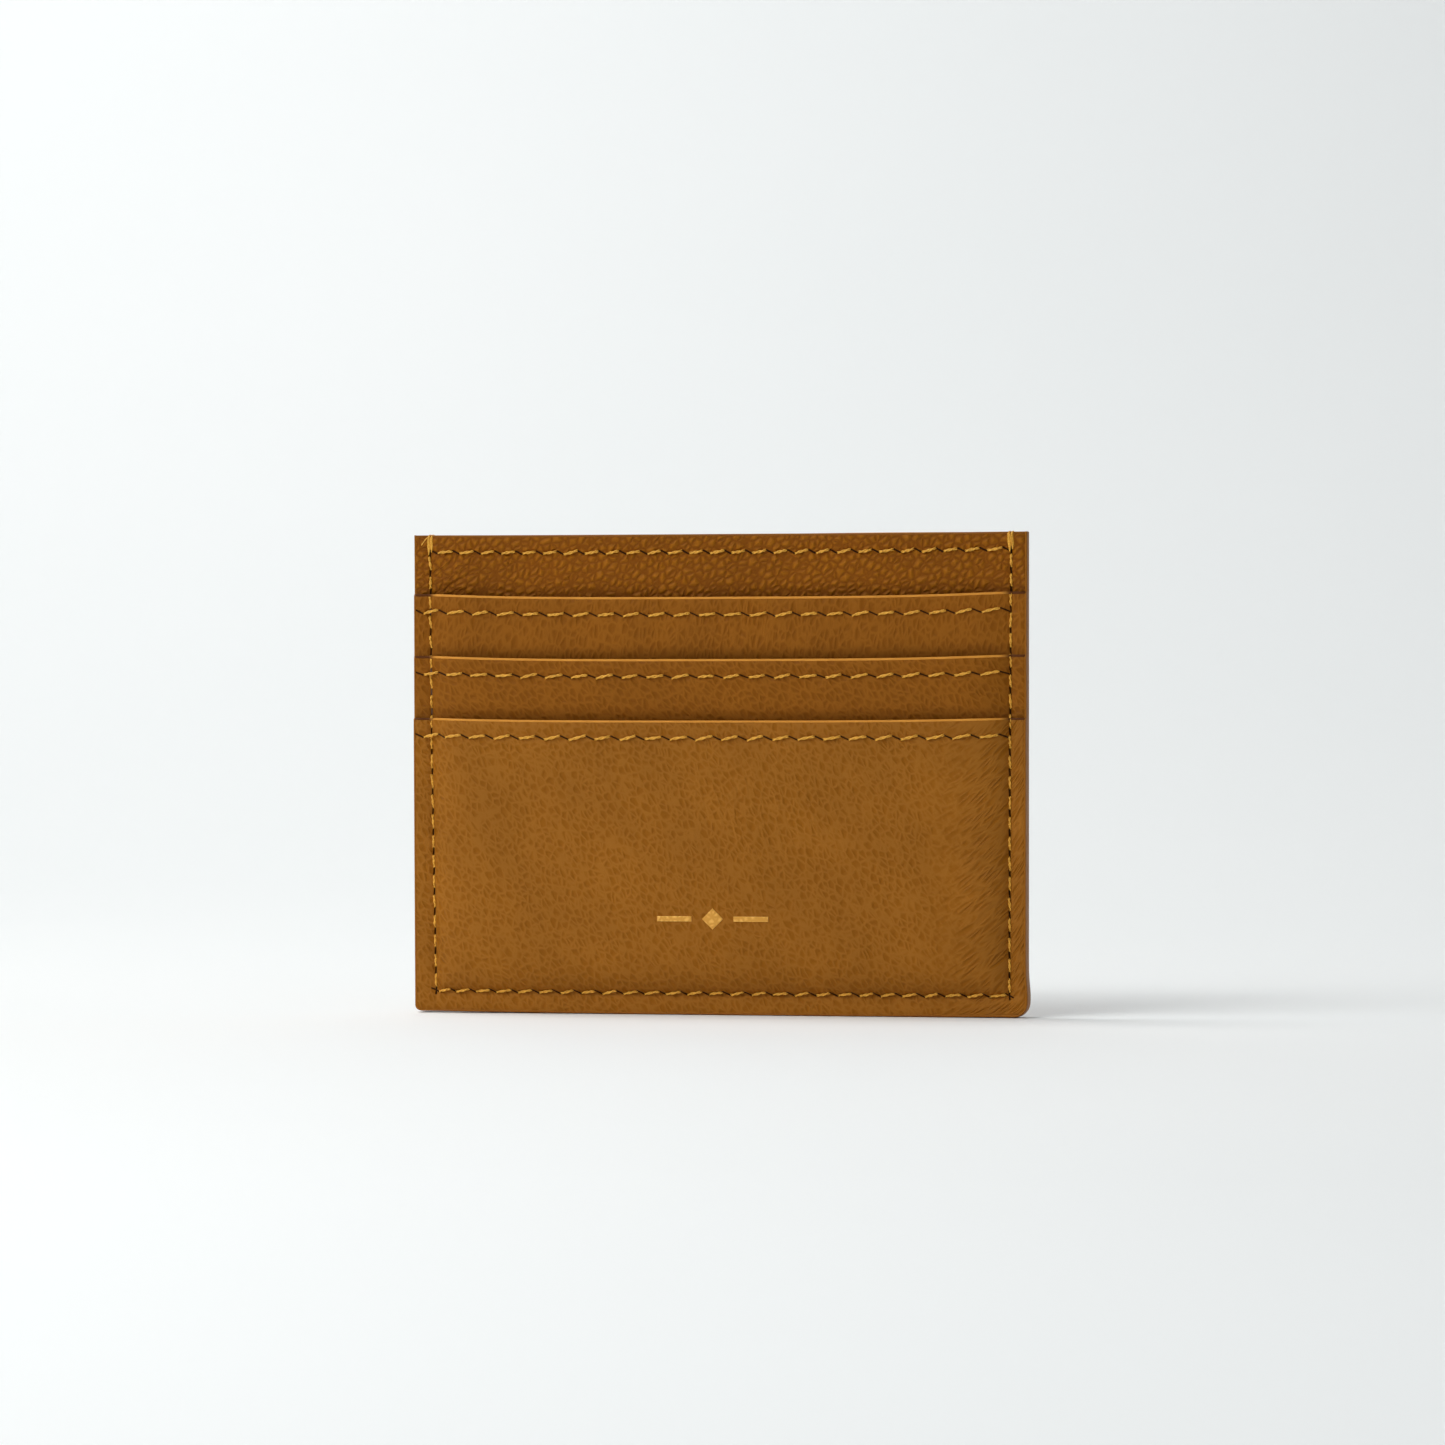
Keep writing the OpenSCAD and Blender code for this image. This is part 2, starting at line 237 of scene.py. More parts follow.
# %% [markdown]
# ## Creases, puckers and waves
# Soft grain leather shows its making: fine diagonal folds where the right seam pulls it, short
# folds that fan out from the upper left corner, and broad shallow waves. They are sums of smooth
# functions, so the shape is the same on every run.

# %% Define the fine relief
def waves(x, z, seed):
    """Broad, shallow unevenness of about 0.05 mm."""
    rng = np.random.default_rng(seed)
    total = np.zeros(np.broadcast(x, z).shape)
    for size in (34, 21, 13, 8, 5.5):
        angle, phase = rng.uniform(0, math.pi), rng.uniform(0, 2 * math.pi)
        ramp = x * math.cos(angle) + z * math.sin(angle)
        total = total + 0.0016 * size * np.sin(2 * math.pi * ramp / size + phase)
    return total


def folds(x, z):
    """Diagonal folds beside the right seam, and a fan of folds in the upper left corner."""
    slope = 0.62
    ramp = z - slope * x + 0.5 * np.sin(z * 0.7 + x * 0.4) + 0.3 * np.sin(x * 1.1 - z * 0.45)
    area = hump(x, seam_x - 3.4, 4.6) * hump(z, 22, 12)
    right = area * (np.sin(2 * math.pi * ramp / 2.05) + 0.6 * np.sin(2 * math.pi * ramp / 1.45 + 1))
    dx, dz = x + seam_x + 1.5, z - (case_h - 8)
    angle = np.arctan2(dz, dx)
    radius = np.hypot(dx, dz)
    fan = hump(radius, 3.6, 1.8) * np.sin(angle * 11) * (x > -seam_x)
    return 0.085 * right + 0.12 * fan


roll_depth, roll_length = 0.16, 0.28


def edge_roll(x, z, top):
    """The cut edges of the leather roll back under their paint."""
    side = leather_half_w - np.abs(x)
    base = z - leather_low
    sewn_roll = roll_depth * (np.exp(-side / roll_length) + np.exp(-base / roll_length))
    return sewn_roll + 0.1 * np.exp(-(top - z) / 0.22)


# %% [markdown]
# ## A sheet of leather or cloth as a closed shell
# Every flat piece is cut from the same pattern: a grid over the outline, with an inner and an
# outer face and a rim. The grid is finer where a row or a seam needs detail, and its lowest rows
# are drawn in to round the two lower corners.

# %% Build grids and shells
left_corner_r, right_corner_r = 0.7, 1.8


def ruler(start, stop, step, fine_at=(), fine_step=0.15, fine_reach=0.75):
    """Positions from start to stop, closer together round each place in fine_at."""
    marks = [start]
    while marks[-1] < stop - 1e-6:
        here = marks[-1]
        close = any(abs(here + fine_step / 2 - f) < fine_reach for f in fine_at)
        ahead = [f - fine_reach for f in fine_at if f - fine_reach > here + 1e-6]
        length = fine_step if close else min([step] + [f - here for f in ahead])
        marks.append(min(here + max(length, fine_step / 2), stop))
    return np.array(marks)


def drawn_in(x, z):
    """Pulls the rows near the base inwards, along the two round corners."""
    radius = np.where(x < 0, left_corner_r, right_corner_r)
    near = np.clip(radius - (z - leather_low), 0, radius)
    inset = radius - np.sqrt(np.maximum(radius**2 - near**2, 0))
    return x * (1 - inset / leather_half_w)


def mesh_object(name, points, faces, sharp_angle=40):
    mesh = bpy.data.meshes.new(name)
    mesh.from_pydata([tuple(p) for p in points], [], [tuple(f) for f in faces])
    mesh.polygons.foreach_set("use_smooth", [True] * len(mesh.polygons))
    mesh.set_sharp_from_angle(angle=math.radians(sharp_angle))
    mesh.update()
    piece = bpy.data.objects.new(name, mesh)
    bpy.context.scene.collection.objects.link(piece)
    return piece


def grid_faces(rows, cols, offset, turned):
    a = (np.arange(rows - 1)[:, None] * cols + np.arange(cols - 1)[None, :]).ravel() + offset
    quads = np.stack([a, a + 1, a + cols + 1, a + cols], axis=1)
    return quads[:, ::-1] if turned else quads


def rim_faces(rows, cols, inner, outer, turned):
    """The narrow faces that join the borders of two grids."""
    low = np.arange(cols)
    right = np.arange(rows) * cols + cols - 1
    high = (rows - 1) * cols + np.arange(cols)[::-1]
    left = (np.arange(rows) * cols)[::-1]
    loop = np.concatenate([low[:-1], right[:-1], high[:-1], left[:-1]])
    after = np.roll(loop, -1)
    quads = np.stack([inner + loop, inner + after, outer + after, outer + loop], axis=1)
    return quads[:, ::-1] if turned else quads


def closed_grid(name, near, far, turned):
    """A closed sheet between two grids of points, with a rim round their borders."""
    rows, cols = near.shape[:2]
    count = rows * cols
    faces = np.concatenate([
        grid_faces(rows, cols, count, turned),
        grid_faces(rows, cols, 0, not turned),
        rim_faces(rows, cols, 0, count, turned)])
    return mesh_object(name, np.concatenate([near.reshape(-1, 3), far.reshape(-1, 3)]), faces)


def shell(name, xs, zs, inner, outer, side=-1):
    """A closed sheet between two depths, each a function of x and z. It keeps its flat place."""
    x, z = np.meshgrid(xs, zs)
    near = warp(drawn_in(x, z), inner(x, z), z, side)
    far = warp(drawn_in(x, z), outer(x, z), z, side)
    piece = closed_grid(name, near, far, side > 0)
    flat_place = np.stack([x, 0 * x, z], axis=-1).reshape(-1, 3)
    place = piece.data.attributes.new("place", "FLOAT_VECTOR", "POINT")
    place.data.foreach_set("vector", np.concatenate([flat_place, flat_place]).ravel())
    return piece


def at(rule, x, z):
    """A depth rule's value at one place."""
    return float(rule(np.array(x), np.array(z)))


def dress(piece, material, slot, *nodes):
    """Gives a piece its material, the CAD nodes that it stands for and its body. slot is not used.
    """
    piece.data.materials.clear()
    piece.data.materials.append(material)
    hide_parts(*nodes)
    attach(piece, "root")
    print(f"{piece.name}: {len(piece.data.polygons)} faces")
    return piece


# %% [markdown]
# ## Shader helpers
# Materials here are small graphs. One helper adds a node, sets its plain values and plugs in the
# sockets it is given, which keeps each recipe short enough to read as a sentence.

# %% Write the node helpers
def plug(socket, value):
    """Gives an input socket a plain value, or a link from another node's output."""
    if isinstance(value, bpy.types.NodeSocket):
        socket.id_data.links.new(value, socket)
    else:
        socket.default_value = value


def add_node(tree, kind, inputs=None, **settings):
    """Adds a node. inputs gives its sockets by name or place, and settings its properties."""
    made = tree.nodes.new(kind)
    for key, value in settings.items():
        setattr(made, key, value)
    for key, value in (inputs or {}).items():
        plug(made.inputs[key], value)
    return made


def calc(operation, a, b=0.5, clamp=False):
    """A Math node over numbers and sockets. Returns its result's socket."""
    tree = (a if isinstance(a, bpy.types.NodeSocket) else b).id_data
    return add_node(tree, "ShaderNodeMath", {0: a, 1: b}, operation=operation,
                    use_clamp=clamp).outputs[0]


def plus(a, b):
    return calc("ADD", a, b)


def minus(a, b):
    return calc("SUBTRACT", a, b)


def times(*factors):
    return reduce(lambda a, b: calc("MULTIPLY", a, b), factors)


def vector_calc(operation, a, b=(0, 0, 0)):
    """A Vector Math node. A length, a distance and a dot product are plain numbers."""
    made = add_node(a.id_data, "ShaderNodeVectorMath", {0: a, 1: b}, operation=operation)
    return made.outputs["Value" if operation in ("LENGTH", "DISTANCE", "DOT_PRODUCT") else 0]


def scaled(vector, scale):
    return add_node(vector.id_data, "ShaderNodeVectorMath", {0: vector, "Scale": scale},
                    operation="SCALE").outputs[0]


def axes(vector):
    """The X, Y and Z sockets of a vector."""
    return tuple(add_node(vector.id_data, "ShaderNodeSeparateXYZ", {0: vector}).outputs)


def combined(tree, **parts):
    return add_node(tree, "ShaderNodeCombineXYZ", parts).outputs[0]


def squeezed(vector, scale):
    return add_node(vector.id_data, "ShaderNodeMapping",
                    {"Scale": scale, "Vector": vector}).outputs[0]


def drawn_out(vector, heading, scale):
    """Coordinates turned to a heading in degrees and drawn out along it."""
    turn = (0, -math.radians(heading), 0)
    return add_node(vector.id_data, "ShaderNodeMapping",
                    {"Rotation": turn, "Scale": scale, "Vector": vector},
                    vector_type="TEXTURE").outputs[0]


def noise(vector, scale, detail, **more):
    return add_node(vector.id_data, "ShaderNodeTexNoise",
                    {"Vector": vector, "Scale": scale, "Detail": detail, **more}).outputs["Fac"]


def remap(value, start, end, low=0.0, high=1.0, kind="LINEAR"):
    """Turns start to end into low to high."""
    inputs = {"Value": value, "From Min": start, "From Max": end, "To Min": low, "To Max": high}
    return add_node(value.id_data, "ShaderNodeMapRange", inputs,
                    interpolation_type=kind).outputs["Result"]


def blend_colour(factor, a, b):
    return add_node(factor.id_data, "ShaderNodeMix", {0: factor, 6: a, 7: b},
                    data_type="RGBA").outputs[2]


def new_group(name, inputs, outputs):
    """A shader group, where an input of None is a vector. Returns its tree, inputs and outputs."""
    tree = bpy.data.node_groups.new(name, "ShaderNodeTree")
    for label, default in inputs.items():
        kind = "NodeSocketVector" if default is None else "NodeSocketFloat"
        socket = tree.interface.new_socket(label, in_out="INPUT", socket_type=kind)
        if default is not None:
            socket.default_value = default
    for label in outputs:
        tree.interface.new_socket(label, in_out="OUTPUT", socket_type="NodeSocketFloat")
    return tree, tree.nodes.new("NodeGroupInput").outputs, tree.nodes.new("NodeGroupOutput").inputs


def use_group(group, vector, **values):
    """A shader group over a vector. Returns its outputs."""
    inputs = {key.replace("_", " "): value for key, value in values.items()}
    return add_node(vector.id_data, "ShaderNodeGroup", {"Vector": vector, **inputs},
                    node_tree=group).outputs


def new_material(name, **plain):
    """A material with its Principled shader and a socket for the place on the object."""
    material = bpy.data.materials.new(name)
    material.use_nodes = True
    shader = material.node_tree.nodes["Principled BSDF"]
    for key, value in plain.items():
        shader.inputs[key.replace("_", " ")].default_value = value
    return material, shader, add_node(material.node_tree, "ShaderNodeTexCoord").outputs["Object"]


def wear(shader, colour, height, distance, strength=1.0, **inputs):
    """Plugs in a colour, a height in millimetres as a bump, and the other inputs by name."""
    bump = add_node(shader.id_data, "ShaderNodeBump",
                    {"Strength": strength, "Distance": distance * MM, "Height": height})
    plug(shader.inputs["Base Color"], colour)
    plug(shader.inputs["Normal"], bump.outputs["Normal"])
    for key, value in inputs.items():
        plug(shader.inputs[key], value)


def srgb(red, green, blue):
    """A colour picked in 0 to 255 display values, as linear light."""
    return tuple(
        c / 12.92 if c <= 0.04045 else ((c + 0.055) / 1.055) ** 2.4
        for c in (red / 255, green / 255, blue / 255)) + (1.0,)


# %% [markdown]
# ## Pebbled grain
# Tumbled full grain leather is covered with rounded pebbles about a millimetre across, with
# narrow creases between them and finer wrinkles on top. Cells from a Voronoi texture make the
# pebbles once their edges are bent by noise. The group puts out a height, the creases and a
# patchy tone, and every leather uses it with its own pebble size. A leather may also turn it
# over, so that the creases become fine raised lines round shallow dimples.

# %% Build the pebbled grain group
bend_scale, patch_scale, wrinkle_ratio = 900.0, 95.0, 3.1
flank_width, crown_slope, crease_power = 0.42, 0.75, 1.5
grain, given, result = new_group(
    "Pebbled grain",
    {"Vector": None, "Pebbles per metre": 1150.0, "Bend": 0.00042, "Wrinkle": 0.3},
    ["Height", "Crease", "Tone"])
bend = add_node(grain, "ShaderNodeTexNoise",
                {"Scale": bend_scale, "Detail": 2.0, "Vector": given["Vector"]})
centred = vector_calc("SUBTRACT", bend.outputs["Color"], (0.5, 0.5, 0.5))
moved = vector_calc("ADD", given["Vector"], scaled(centred, given["Bend"]))
cell = {"Randomness": 0.95, "Vector": moved, "Scale": given["Pebbles per metre"]}
edge, middle = (add_node(grain, "ShaderNodeTexVoronoi", cell, feature=feature).outputs["Distance"]
                for feature in ("DISTANCE_TO_EDGE", "F1"))
wrinkles = noise(moved, times(given["Pebbles per metre"], wrinkle_ratio), 3.0, Roughness=0.6)
flank = remap(edge, 0.0, flank_width, kind="SMOOTHSTEP")
pebble = times(flank, minus(1.0, times(middle, crown_slope)))
plug(result["Height"], plus(pebble, times(wrinkles, given["Wrinkle"])))
plug(result["Crease"], calc("POWER", calc("SUBTRACT", 1.0, flank, clamp=True), crease_power))
plug(result["Tone"], noise(given["Vector"], patch_scale, 3.0))
print("grain group nodes:", len(grain.nodes))

# %% [markdown]
# ## Needle slits
# Where the needle went through, the hole closes to a narrow slit that slopes down from the end of
# one stitch to the start of the next. Each leather sheet carries its flat place in an attribute,
# so a small group can repeat the slit exactly at every hole, however coarse the mesh is.

# %% Build the needle slit group
slits, given, result = new_group(
    "Needle slits",
    {"Vector": None, "First hole": 0.0, "Last hole": 1.0, "Pitch": 4.0, "Row at": 0.0,
     "Half run": 0.6, "Half fall": 0.3, "Width": 0.2},
    ["Mask"])
along, _, height = axes(given["Vector"])
half_pitch, from_first = times(given["Pitch"], 0.5), minus(along, given["First hole"])
wrapped = add_node(slits, "ShaderNodeMath",
                   {0: from_first, 1: half_pitch, 2: times(half_pitch, -1.0)}, operation="WRAP")
spot = combined(slits, X=wrapped.outputs[0], Y=minus(height, given["Row at"]))
heading = combined(slits, X=given["Half run"], Y=times(given["Half fall"], -1.0))
length, unit = vector_calc("LENGTH", heading), vector_calc("NORMALIZE", heading)
kept = calc("MINIMUM", vector_calc("DOT_PRODUCT", spot, unit), length)
kept = calc("MAXIMUM", kept, times(length, -1.0))
gap = vector_calc("DISTANCE", spot, scaled(unit, kept))
near = calc("SUBTRACT", 1.0, calc("DIVIDE", gap, given["Width"]), clamp=True)
after = calc("GREATER_THAN", along, minus(given["First hole"], half_pitch))
before = calc("LESS_THAN", along, plus(given["Last hole"], half_pitch))
plug(result["Mask"], times(near, after, before))


def holes_mask(vector, holes, row_at, half_run, half_fall, width):
    return use_group(slits, vector, First_hole=float(holes[0]), Last_hole=float(holes[-1]),
                     Pitch=float(holes[1] - holes[0]), Row_at=row_at, Half_run=half_run,
                     Half_fall=half_fall, Width=width)["Mask"]


print("slit group nodes:", len(slits.nodes))

# %% [markdown]
# ## Leather
# The hide is dyed through and finished semi-matt, and broad patches vary the dye. On the panel the
# pebbles stand up, a little lighter and glossier than the creases: the darker creases are partly
# the grain's own tone and partly painted shade, the lighter tops partly a painted highlight. On the
# other leathers the grain is turned over: fine pale lines stand up round darker dimples, and their
# paleness is partly a painted highlight. Each leather has its own values, its own row of needle
# slits, its own places where a seam pulls it and a painted shade just above the next lip.

# %% Make the leathers
pull_squeeze, pull_scale = (6.0, 6.0, 1.0), 980.0
gather_squeeze, gather_from, gather_to = 2.5, 1, 15
gather_share, gather_height = 0.9, 1.3
# Height and depth of the painted shade just above each next lip, where a strip tucks in.
lip_shade_height, lip_shade_tone = 2.6, 0.8
hole_colour, hole_depth = srgb(52, 26, 4), 2.5


def pulled(vector, x, z, pull):
    """Fine creases along one direction, where a seam pulls the hide. pull is (middle x, middle z,
    reach x, reach z, direction in degrees, strength)."""
    middle_x, middle_z, reach_x, reach_z, heading, strength = pull
    lines = noise(drawn_out(vector, heading, pull_squeeze), pull_scale, 2.0, Distortion=0.7)
    off_x = calc("DIVIDE", minus(x, middle_x), reach_x)
    off_z = calc("DIVIDE", minus(z, middle_z), reach_z)
    away = vector_calc("LENGTH", combined(x.id_data, X=off_x, Z=off_z))
    return times(lines, remap(away, 1.0, 0.25, kind="SMOOTHSTEP"), strength)


def gathered(x, z, pebbles, gather):
    """A second grain, drawn out along curves that climb towards a seam, and where it takes over.
    gather is (first x, climb)."""
    start, climb = gather
    past = calc("MAXIMUM", minus(x, start), 0.0)
    bent = combined(x.id_data, X=times(x, MM / gather_squeeze),
                    Z=times(minus(z, times(past, past, climb)), MM))
    here = remap(x, start + gather_from, start + gather_to, kind="SMOOTHSTEP")
    return use_group(grain, bent, Pebbles_per_metre=pebbles), here


def mixed(part, a, b):
    return plus(a, times(part, minus(b, a)))


def leather(name, top, crease, pebbles, relief, crease_share, lean, stretch, row, pulls, lip_shade_from=-9.0,
            gather=None):
    """lean and stretch draw the pebbles out along one direction, as the hide was stretched.
    row is (holes, height, half run, half fall) of the stitches under the leather's free edge.
    A negative relief turns the grain over: fine lines stand up round shallow dimples.
    Over a band just above the next lip the hide is painted darker: a painted shade where it tucks
    in behind that lip."""
    material, shader, place = new_material(name, Specular_IOR_Level=0.09)
    tree = material.node_tree
    skin = use_group(grain, drawn_out(place, lean, (stretch, 3.0, 1.0)), Pebbles_per_metre=pebbles)
    flat_place = add_node(tree, "ShaderNodeAttribute", attribute_name="place").outputs["Vector"]
    x, _, z = axes(flat_place)
    line, height = skin["Crease"], skin["Height"]
    if gather is not None:
        drawn, here = gathered(x, z, pebbles * gather_share, gather)
        line = mixed(here, line, drawn["Crease"])
        height = mixed(here, height, times(drawn["Height"], gather_height))
    if relief < 0:
        line, height = calc("POWER", line, 2.0), minus(1.0, height)
    patchy = remap(skin["Tone"], 0.35, 0.65, 0.94, 1.05)
    # Painted shade: darker over a band just above the next lip, where the strip tucks in behind it.
    painted_lip_shade = remap(z, lip_shade_from, lip_shade_from + lip_shade_height, lip_shade_tone, 1.0, "SMOOTHSTEP")
    # The lines take the crease colour: partly the grain's own tone, partly painted shade in creases
    # or a painted highlight on raised lines.
    colour = blend_colour(times(line, crease_share), top, crease)
    patchy_and_shaded = add_node(tree, "ShaderNodeHueSaturation",
                     {"Color": colour, "Value": times(patchy, painted_lip_shade)})
    upright = combined(tree, X=z, Z=calc("ABSOLUTE", x))
    pierced = calc("MAXIMUM", holes_mask(upright, side_holes, seam_x, 0.6, 0.05, 0.18),
                   holes_mask(flat_place, base_holes, seam_z, 0.6, 0.3, 0.16))
    pierced = calc("MAXIMUM", pierced, holes_mask(flat_place, *row, 0.16))
    height = minus(height, times(pierced, hole_depth))
    for pull in pulls:
        height = plus(height, pulled(place, x, z, pull))
    wear(shader, blend_colour(remap(pierced, 0.1, 0.7), patchy_and_shaded.outputs["Color"], hole_colour),
         height, abs(relief), Roughness=remap(skin["Height"], 0, 1, 0.62, 0.46))
    return material


row_z_of = {"top": case_h - row_drop, "upper": upper_lip - row_drop,
            "middle": middle_lip - row_drop, "lower": lower_lip - row_drop}
# Hide colours with their crease or ridge colours: darker creases are partly painted shade, lighter
# ridges partly a painted highlight.
hide, ridge_tone_and_highlight = srgb(140, 84, 12), srgb(155, 99, 32)
strip_hide, strip_ridge_tone_and_highlight = srgb(130, 75, 7), srgb(146, 89, 21)
panel_hide, panel_crease_tone_and_shade = srgb(156, 94, 13), srgb(108, 54, 0)
top_row = (top_holes, row_z_of["top"], 0.5, 0.26)
panel_leather = leather(
    "Panel leather", panel_hide, panel_crease_tone_and_shade, 940, 0.3, 0.7, 45, 1.35,
    top_row, [(-43.5, 70, 6, 7, 35, 3.0)], upper_lip)
upper_leather = leather(
    "Upper slot leather", strip_hide, strip_ridge_tone_and_highlight, 1150, -0.11, 0.8, 80, 2.0,
    (lip_holes, row_z_of["upper"], 0.62, 0.28), [(8, 62, 28, 8, 80, 2.4)], middle_lip)
middle_leather = leather(
    "Middle slot leather", strip_hide, strip_ridge_tone_and_highlight, 1100, -0.13, 0.8, 128, 1.7,
    (lip_holes, row_z_of["middle"], 0.62, 0.22), [(-5, 53, 32, 6, 115, 1.8)], lower_lip)
pocket_leather = leather(
    "Pocket leather", hide, ridge_tone_and_highlight, 1180, -0.13, 0.85, 122, 1.7,
    (lip_holes, row_z_of["lower"], 0.62, 0.28), [(8, 34, 22, 15, 105, 2.2)], gather=(30, 0.034))
back_leather = leather(
    "Back leather", hide, ridge_tone_and_highlight, 1150, -0.13, 0.85, 60, 1.7,
    top_row, [(0, 40, 40, 26, 95, 1.6)])
print("the panel's leather has", len(panel_leather.node_tree.nodes), "nodes")

# %% [markdown]
# ## The lower pocket
# The pocket is the piece that the hand feels: a single hide, sewn on three sides, with its free
# edge up. Its mesh is finest along its row of stitches and along the seams. The place of the foil
# ornament is pressed into it.

# %% Make the lower pocket
broad_step, fine_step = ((0.34, 0.16))
across = ruler(-leather_half_w, leather_half_w, broad_step, (-seam_x, seam_x), fine_step, 0.6)
mark_low, mark_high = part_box("foil_ornament")
mark_z = (mark_low.z + mark_high.z) / 2 / MM
mark_half_w, mark_half_h = mark_high.x / MM, (mark_high.z - mark_low.z) / 2 / MM
bar_from, bar_half_h = 2 * mark_half_h, mark_half_h / 4


def in_mark(x, z, grow):
    """True inside the ornament's outline, widened by grow."""
    px, pz = np.abs(x), np.abs(z - mark_z)
    diamond = px + pz < mark_half_h + grow
    bar = (px > bar_from - grow) & (px < mark_half_w + grow) & (pz < bar_half_h + grow)
    return diamond | bar


def face_relief(x, z, seed, top, row=None):
    """Everything that presses into or lifts a leather's outer face. row is (holes, height)."""
    total = 0.7 * waves(x, z, seed) * swell(x, z) - 0.22 * seam_grooves(x, z) - edge_roll(x, z, top)
    step = base_holes[1] - base_holes[0]
    off_hole = 0.5 - 0.5 * np.cos(2 * math.pi * nearest(base_holes, x) / step)
    total = total + 0.13 * hump(z, seam_z + 0.8, 0.42) * off_hole * (np.abs(x) < seam_x)
    if row is not None:
        total = total - 0.11 * groove(x, z - row[1], row[0], 0.5)
    return total


def pocket_back(x, z):
    return pocket_d + pocket_rise * swell(x, z)


def pocket_face(x, z):
    """The pocket's outer face before the ornament is pressed into it."""
    crown = 0.3 * np.cos(np.clip(x / seam_x, -1, 1) * math.pi / 2) * swell(x, z)
    relief = face_relief(x, z, 3, lower_lip - coat_t, (lip_holes, row_z_of["lower"]))
    return pocket_back(x, z) + pocket_t + crown + folds(x, z) + relief


def pocket_front(x, z):
    return pocket_face(x, z) - 0.1 * in_mark(x, z, 0.3)


pocket_zs = ruler(leather_low, lower_lip - coat_t, 0.45, (seam_z, row_z_of["lower"]), fine_step)
lower_pocket = shell("lower_pocket_leather", across, pocket_zs, pocket_back, pocket_front)
dress(lower_pocket, pocket_leather, "pocket_leather", "lower_pocket")

# %% [markdown]
# ## The two slot strips
# Each strip runs right across and is sewn into both side seams, and its lower edge hangs a
# little way down behind the next slot. Just above the next lip the strip is drawn inwards,
# which gives the soft dark line there. The leather is pared thin at the sides and where it is
# covered.

# %% Make the slot strips
turn_share, turn_height, turn_length = 0.65, 0.9, 0.42
pare_width, cover_thin, tab = 4, 0.75, 4.0


def drawn_in_above(z, lip, next_lip):
    """From 0 at a strip's lip to 1 where the next lip covers it: a slope, then a quick turn."""
    slope = clamped((lip - z) / (lip - next_lip))
    turn = 1 / (1 + np.exp((z - next_lip - turn_height) / turn_length))
    return (1 - turn_share) * slope + turn_share * turn


def strip_faces(margin, rise, lip, next_lip, row_z, seed):
    """The rules for the inner and the outer face of one strip."""
    def back(x, z):
        drawn = 0.95 * slot_gap * drawn_in_above(z, lip, next_lip)
        return margin + lining_t + (rise - drawn) * swell(x, z)

    def front(x, z):
        full = clamped((seam_x - np.abs(x)) / pare_width)
        pared = facing_edge_t + (facing_t - facing_edge_t) * full
        covered = 1 / (1 + np.exp((z - next_lip + 1.0) / 0.25))
        relief = face_relief(x, z, seed, lip - coat_t, (lip_holes, row_z))
        return back(x, z) + pared * (1 - cover_thin * covered) + relief

    return back, front


upper_back, upper_front = strip_faces(
    upper_d, upper_rise, upper_lip, middle_lip, row_z_of["upper"], 5)
middle_back, middle_front = strip_faces(
    middle_d, middle_rise, middle_lip, lower_lip, row_z_of["middle"], 8)
for level, back, front, lip, next_lip, material in (
        ("upper", upper_back, upper_front, upper_lip, middle_lip, upper_leather),
        ("middle", middle_back, middle_front, middle_lip, lower_lip, middle_leather)):
    zs = ruler(next_lip - tab, lip - coat_t, 0.34, (row_z_of[level],), fine_step, 0.75)
    strip = shell(f"{level}_slot_leather", across, zs, back, front)
    dress(strip, material, "slot_leather", f"{level}_slot_facing")

# %% [markdown]
# ## The front and back panels
# The panels are the full size hides that the rest is sewn to. Only the front panel's top strip
# shows, so its mesh is coarse behind the slots. The back panel is seen whole, with the other side
# of the seam and its own row of stitches along the top.

# %% Make the panels
panel_top = limit("front_panel", HIGH, Z_AXIS)
panel_back = lining_t + board_t


def front_inner(x, z):
    return panel_back + front_rise * swell(x, z)


def front_outer(x, z):
    shown = np.clip((z - upper_lip + 2) / 2, 0, 1)
    drawn = 0.3 * drawn_in_above(z, case_h, upper_lip) * swell(x, z)
    relief = face_relief(x, z, 11, panel_top, (top_holes, row_z_of["top"]))
    return front_inner(x, z) + panel_t - drawn + (relief + 0.6 * folds(x, z)) * shown


def back_inner(x, z):
    return panel_back + back_rise * swell(x, z)


def back_outer(x, z):
    crown = 0.35 * np.cos(np.clip(x / seam_x, -1, 1) * math.pi / 2) * swell(x, z)
    relief = face_relief(x, z, 17, panel_top, (top_holes, row_z_of["top"]))
    return back_inner(x, z) + panel_t + crown + 1.6 * waves(x, z, 19) * swell(x, z) + relief


front_zs = np.concatenate([
    ruler(leather_low, upper_lip - 2.5, 2.0, (leather_low,), 0.3, 1.5)[:-1],
    ruler(upper_lip - 2.5, panel_top, 0.3, (row_z_of["top"],), fine_step, 0.75)])
front_panel = shell("front_panel_leather", across, front_zs, front_inner, front_outer)
dress(front_panel, panel_leather, "panel_leather", "front_panel")
back_across = ruler(-leather_half_w, leather_half_w, 0.5, (-seam_x, seam_x), 0.2, 0.7)
back_zs = ruler(leather_low, panel_top, 0.52, (seam_z, row_z_of["top"]), 0.2, 0.75)
back_panel = shell("back_panel_leather", back_across, back_zs, back_inner, back_outer, side=1)
dress(back_panel, back_leather, "panel_leather", "back_panel")

# %% [markdown]
# ## Linings and stiffening boards
# A thin woven lining faces the centre pocket and hangs behind each slot strip, and a fibre board
# keeps each panel flat. They show only as fine edges in the slots, but anyone who opens the
# model will see them, so they are whole pieces, each with the outline of its CAD node.

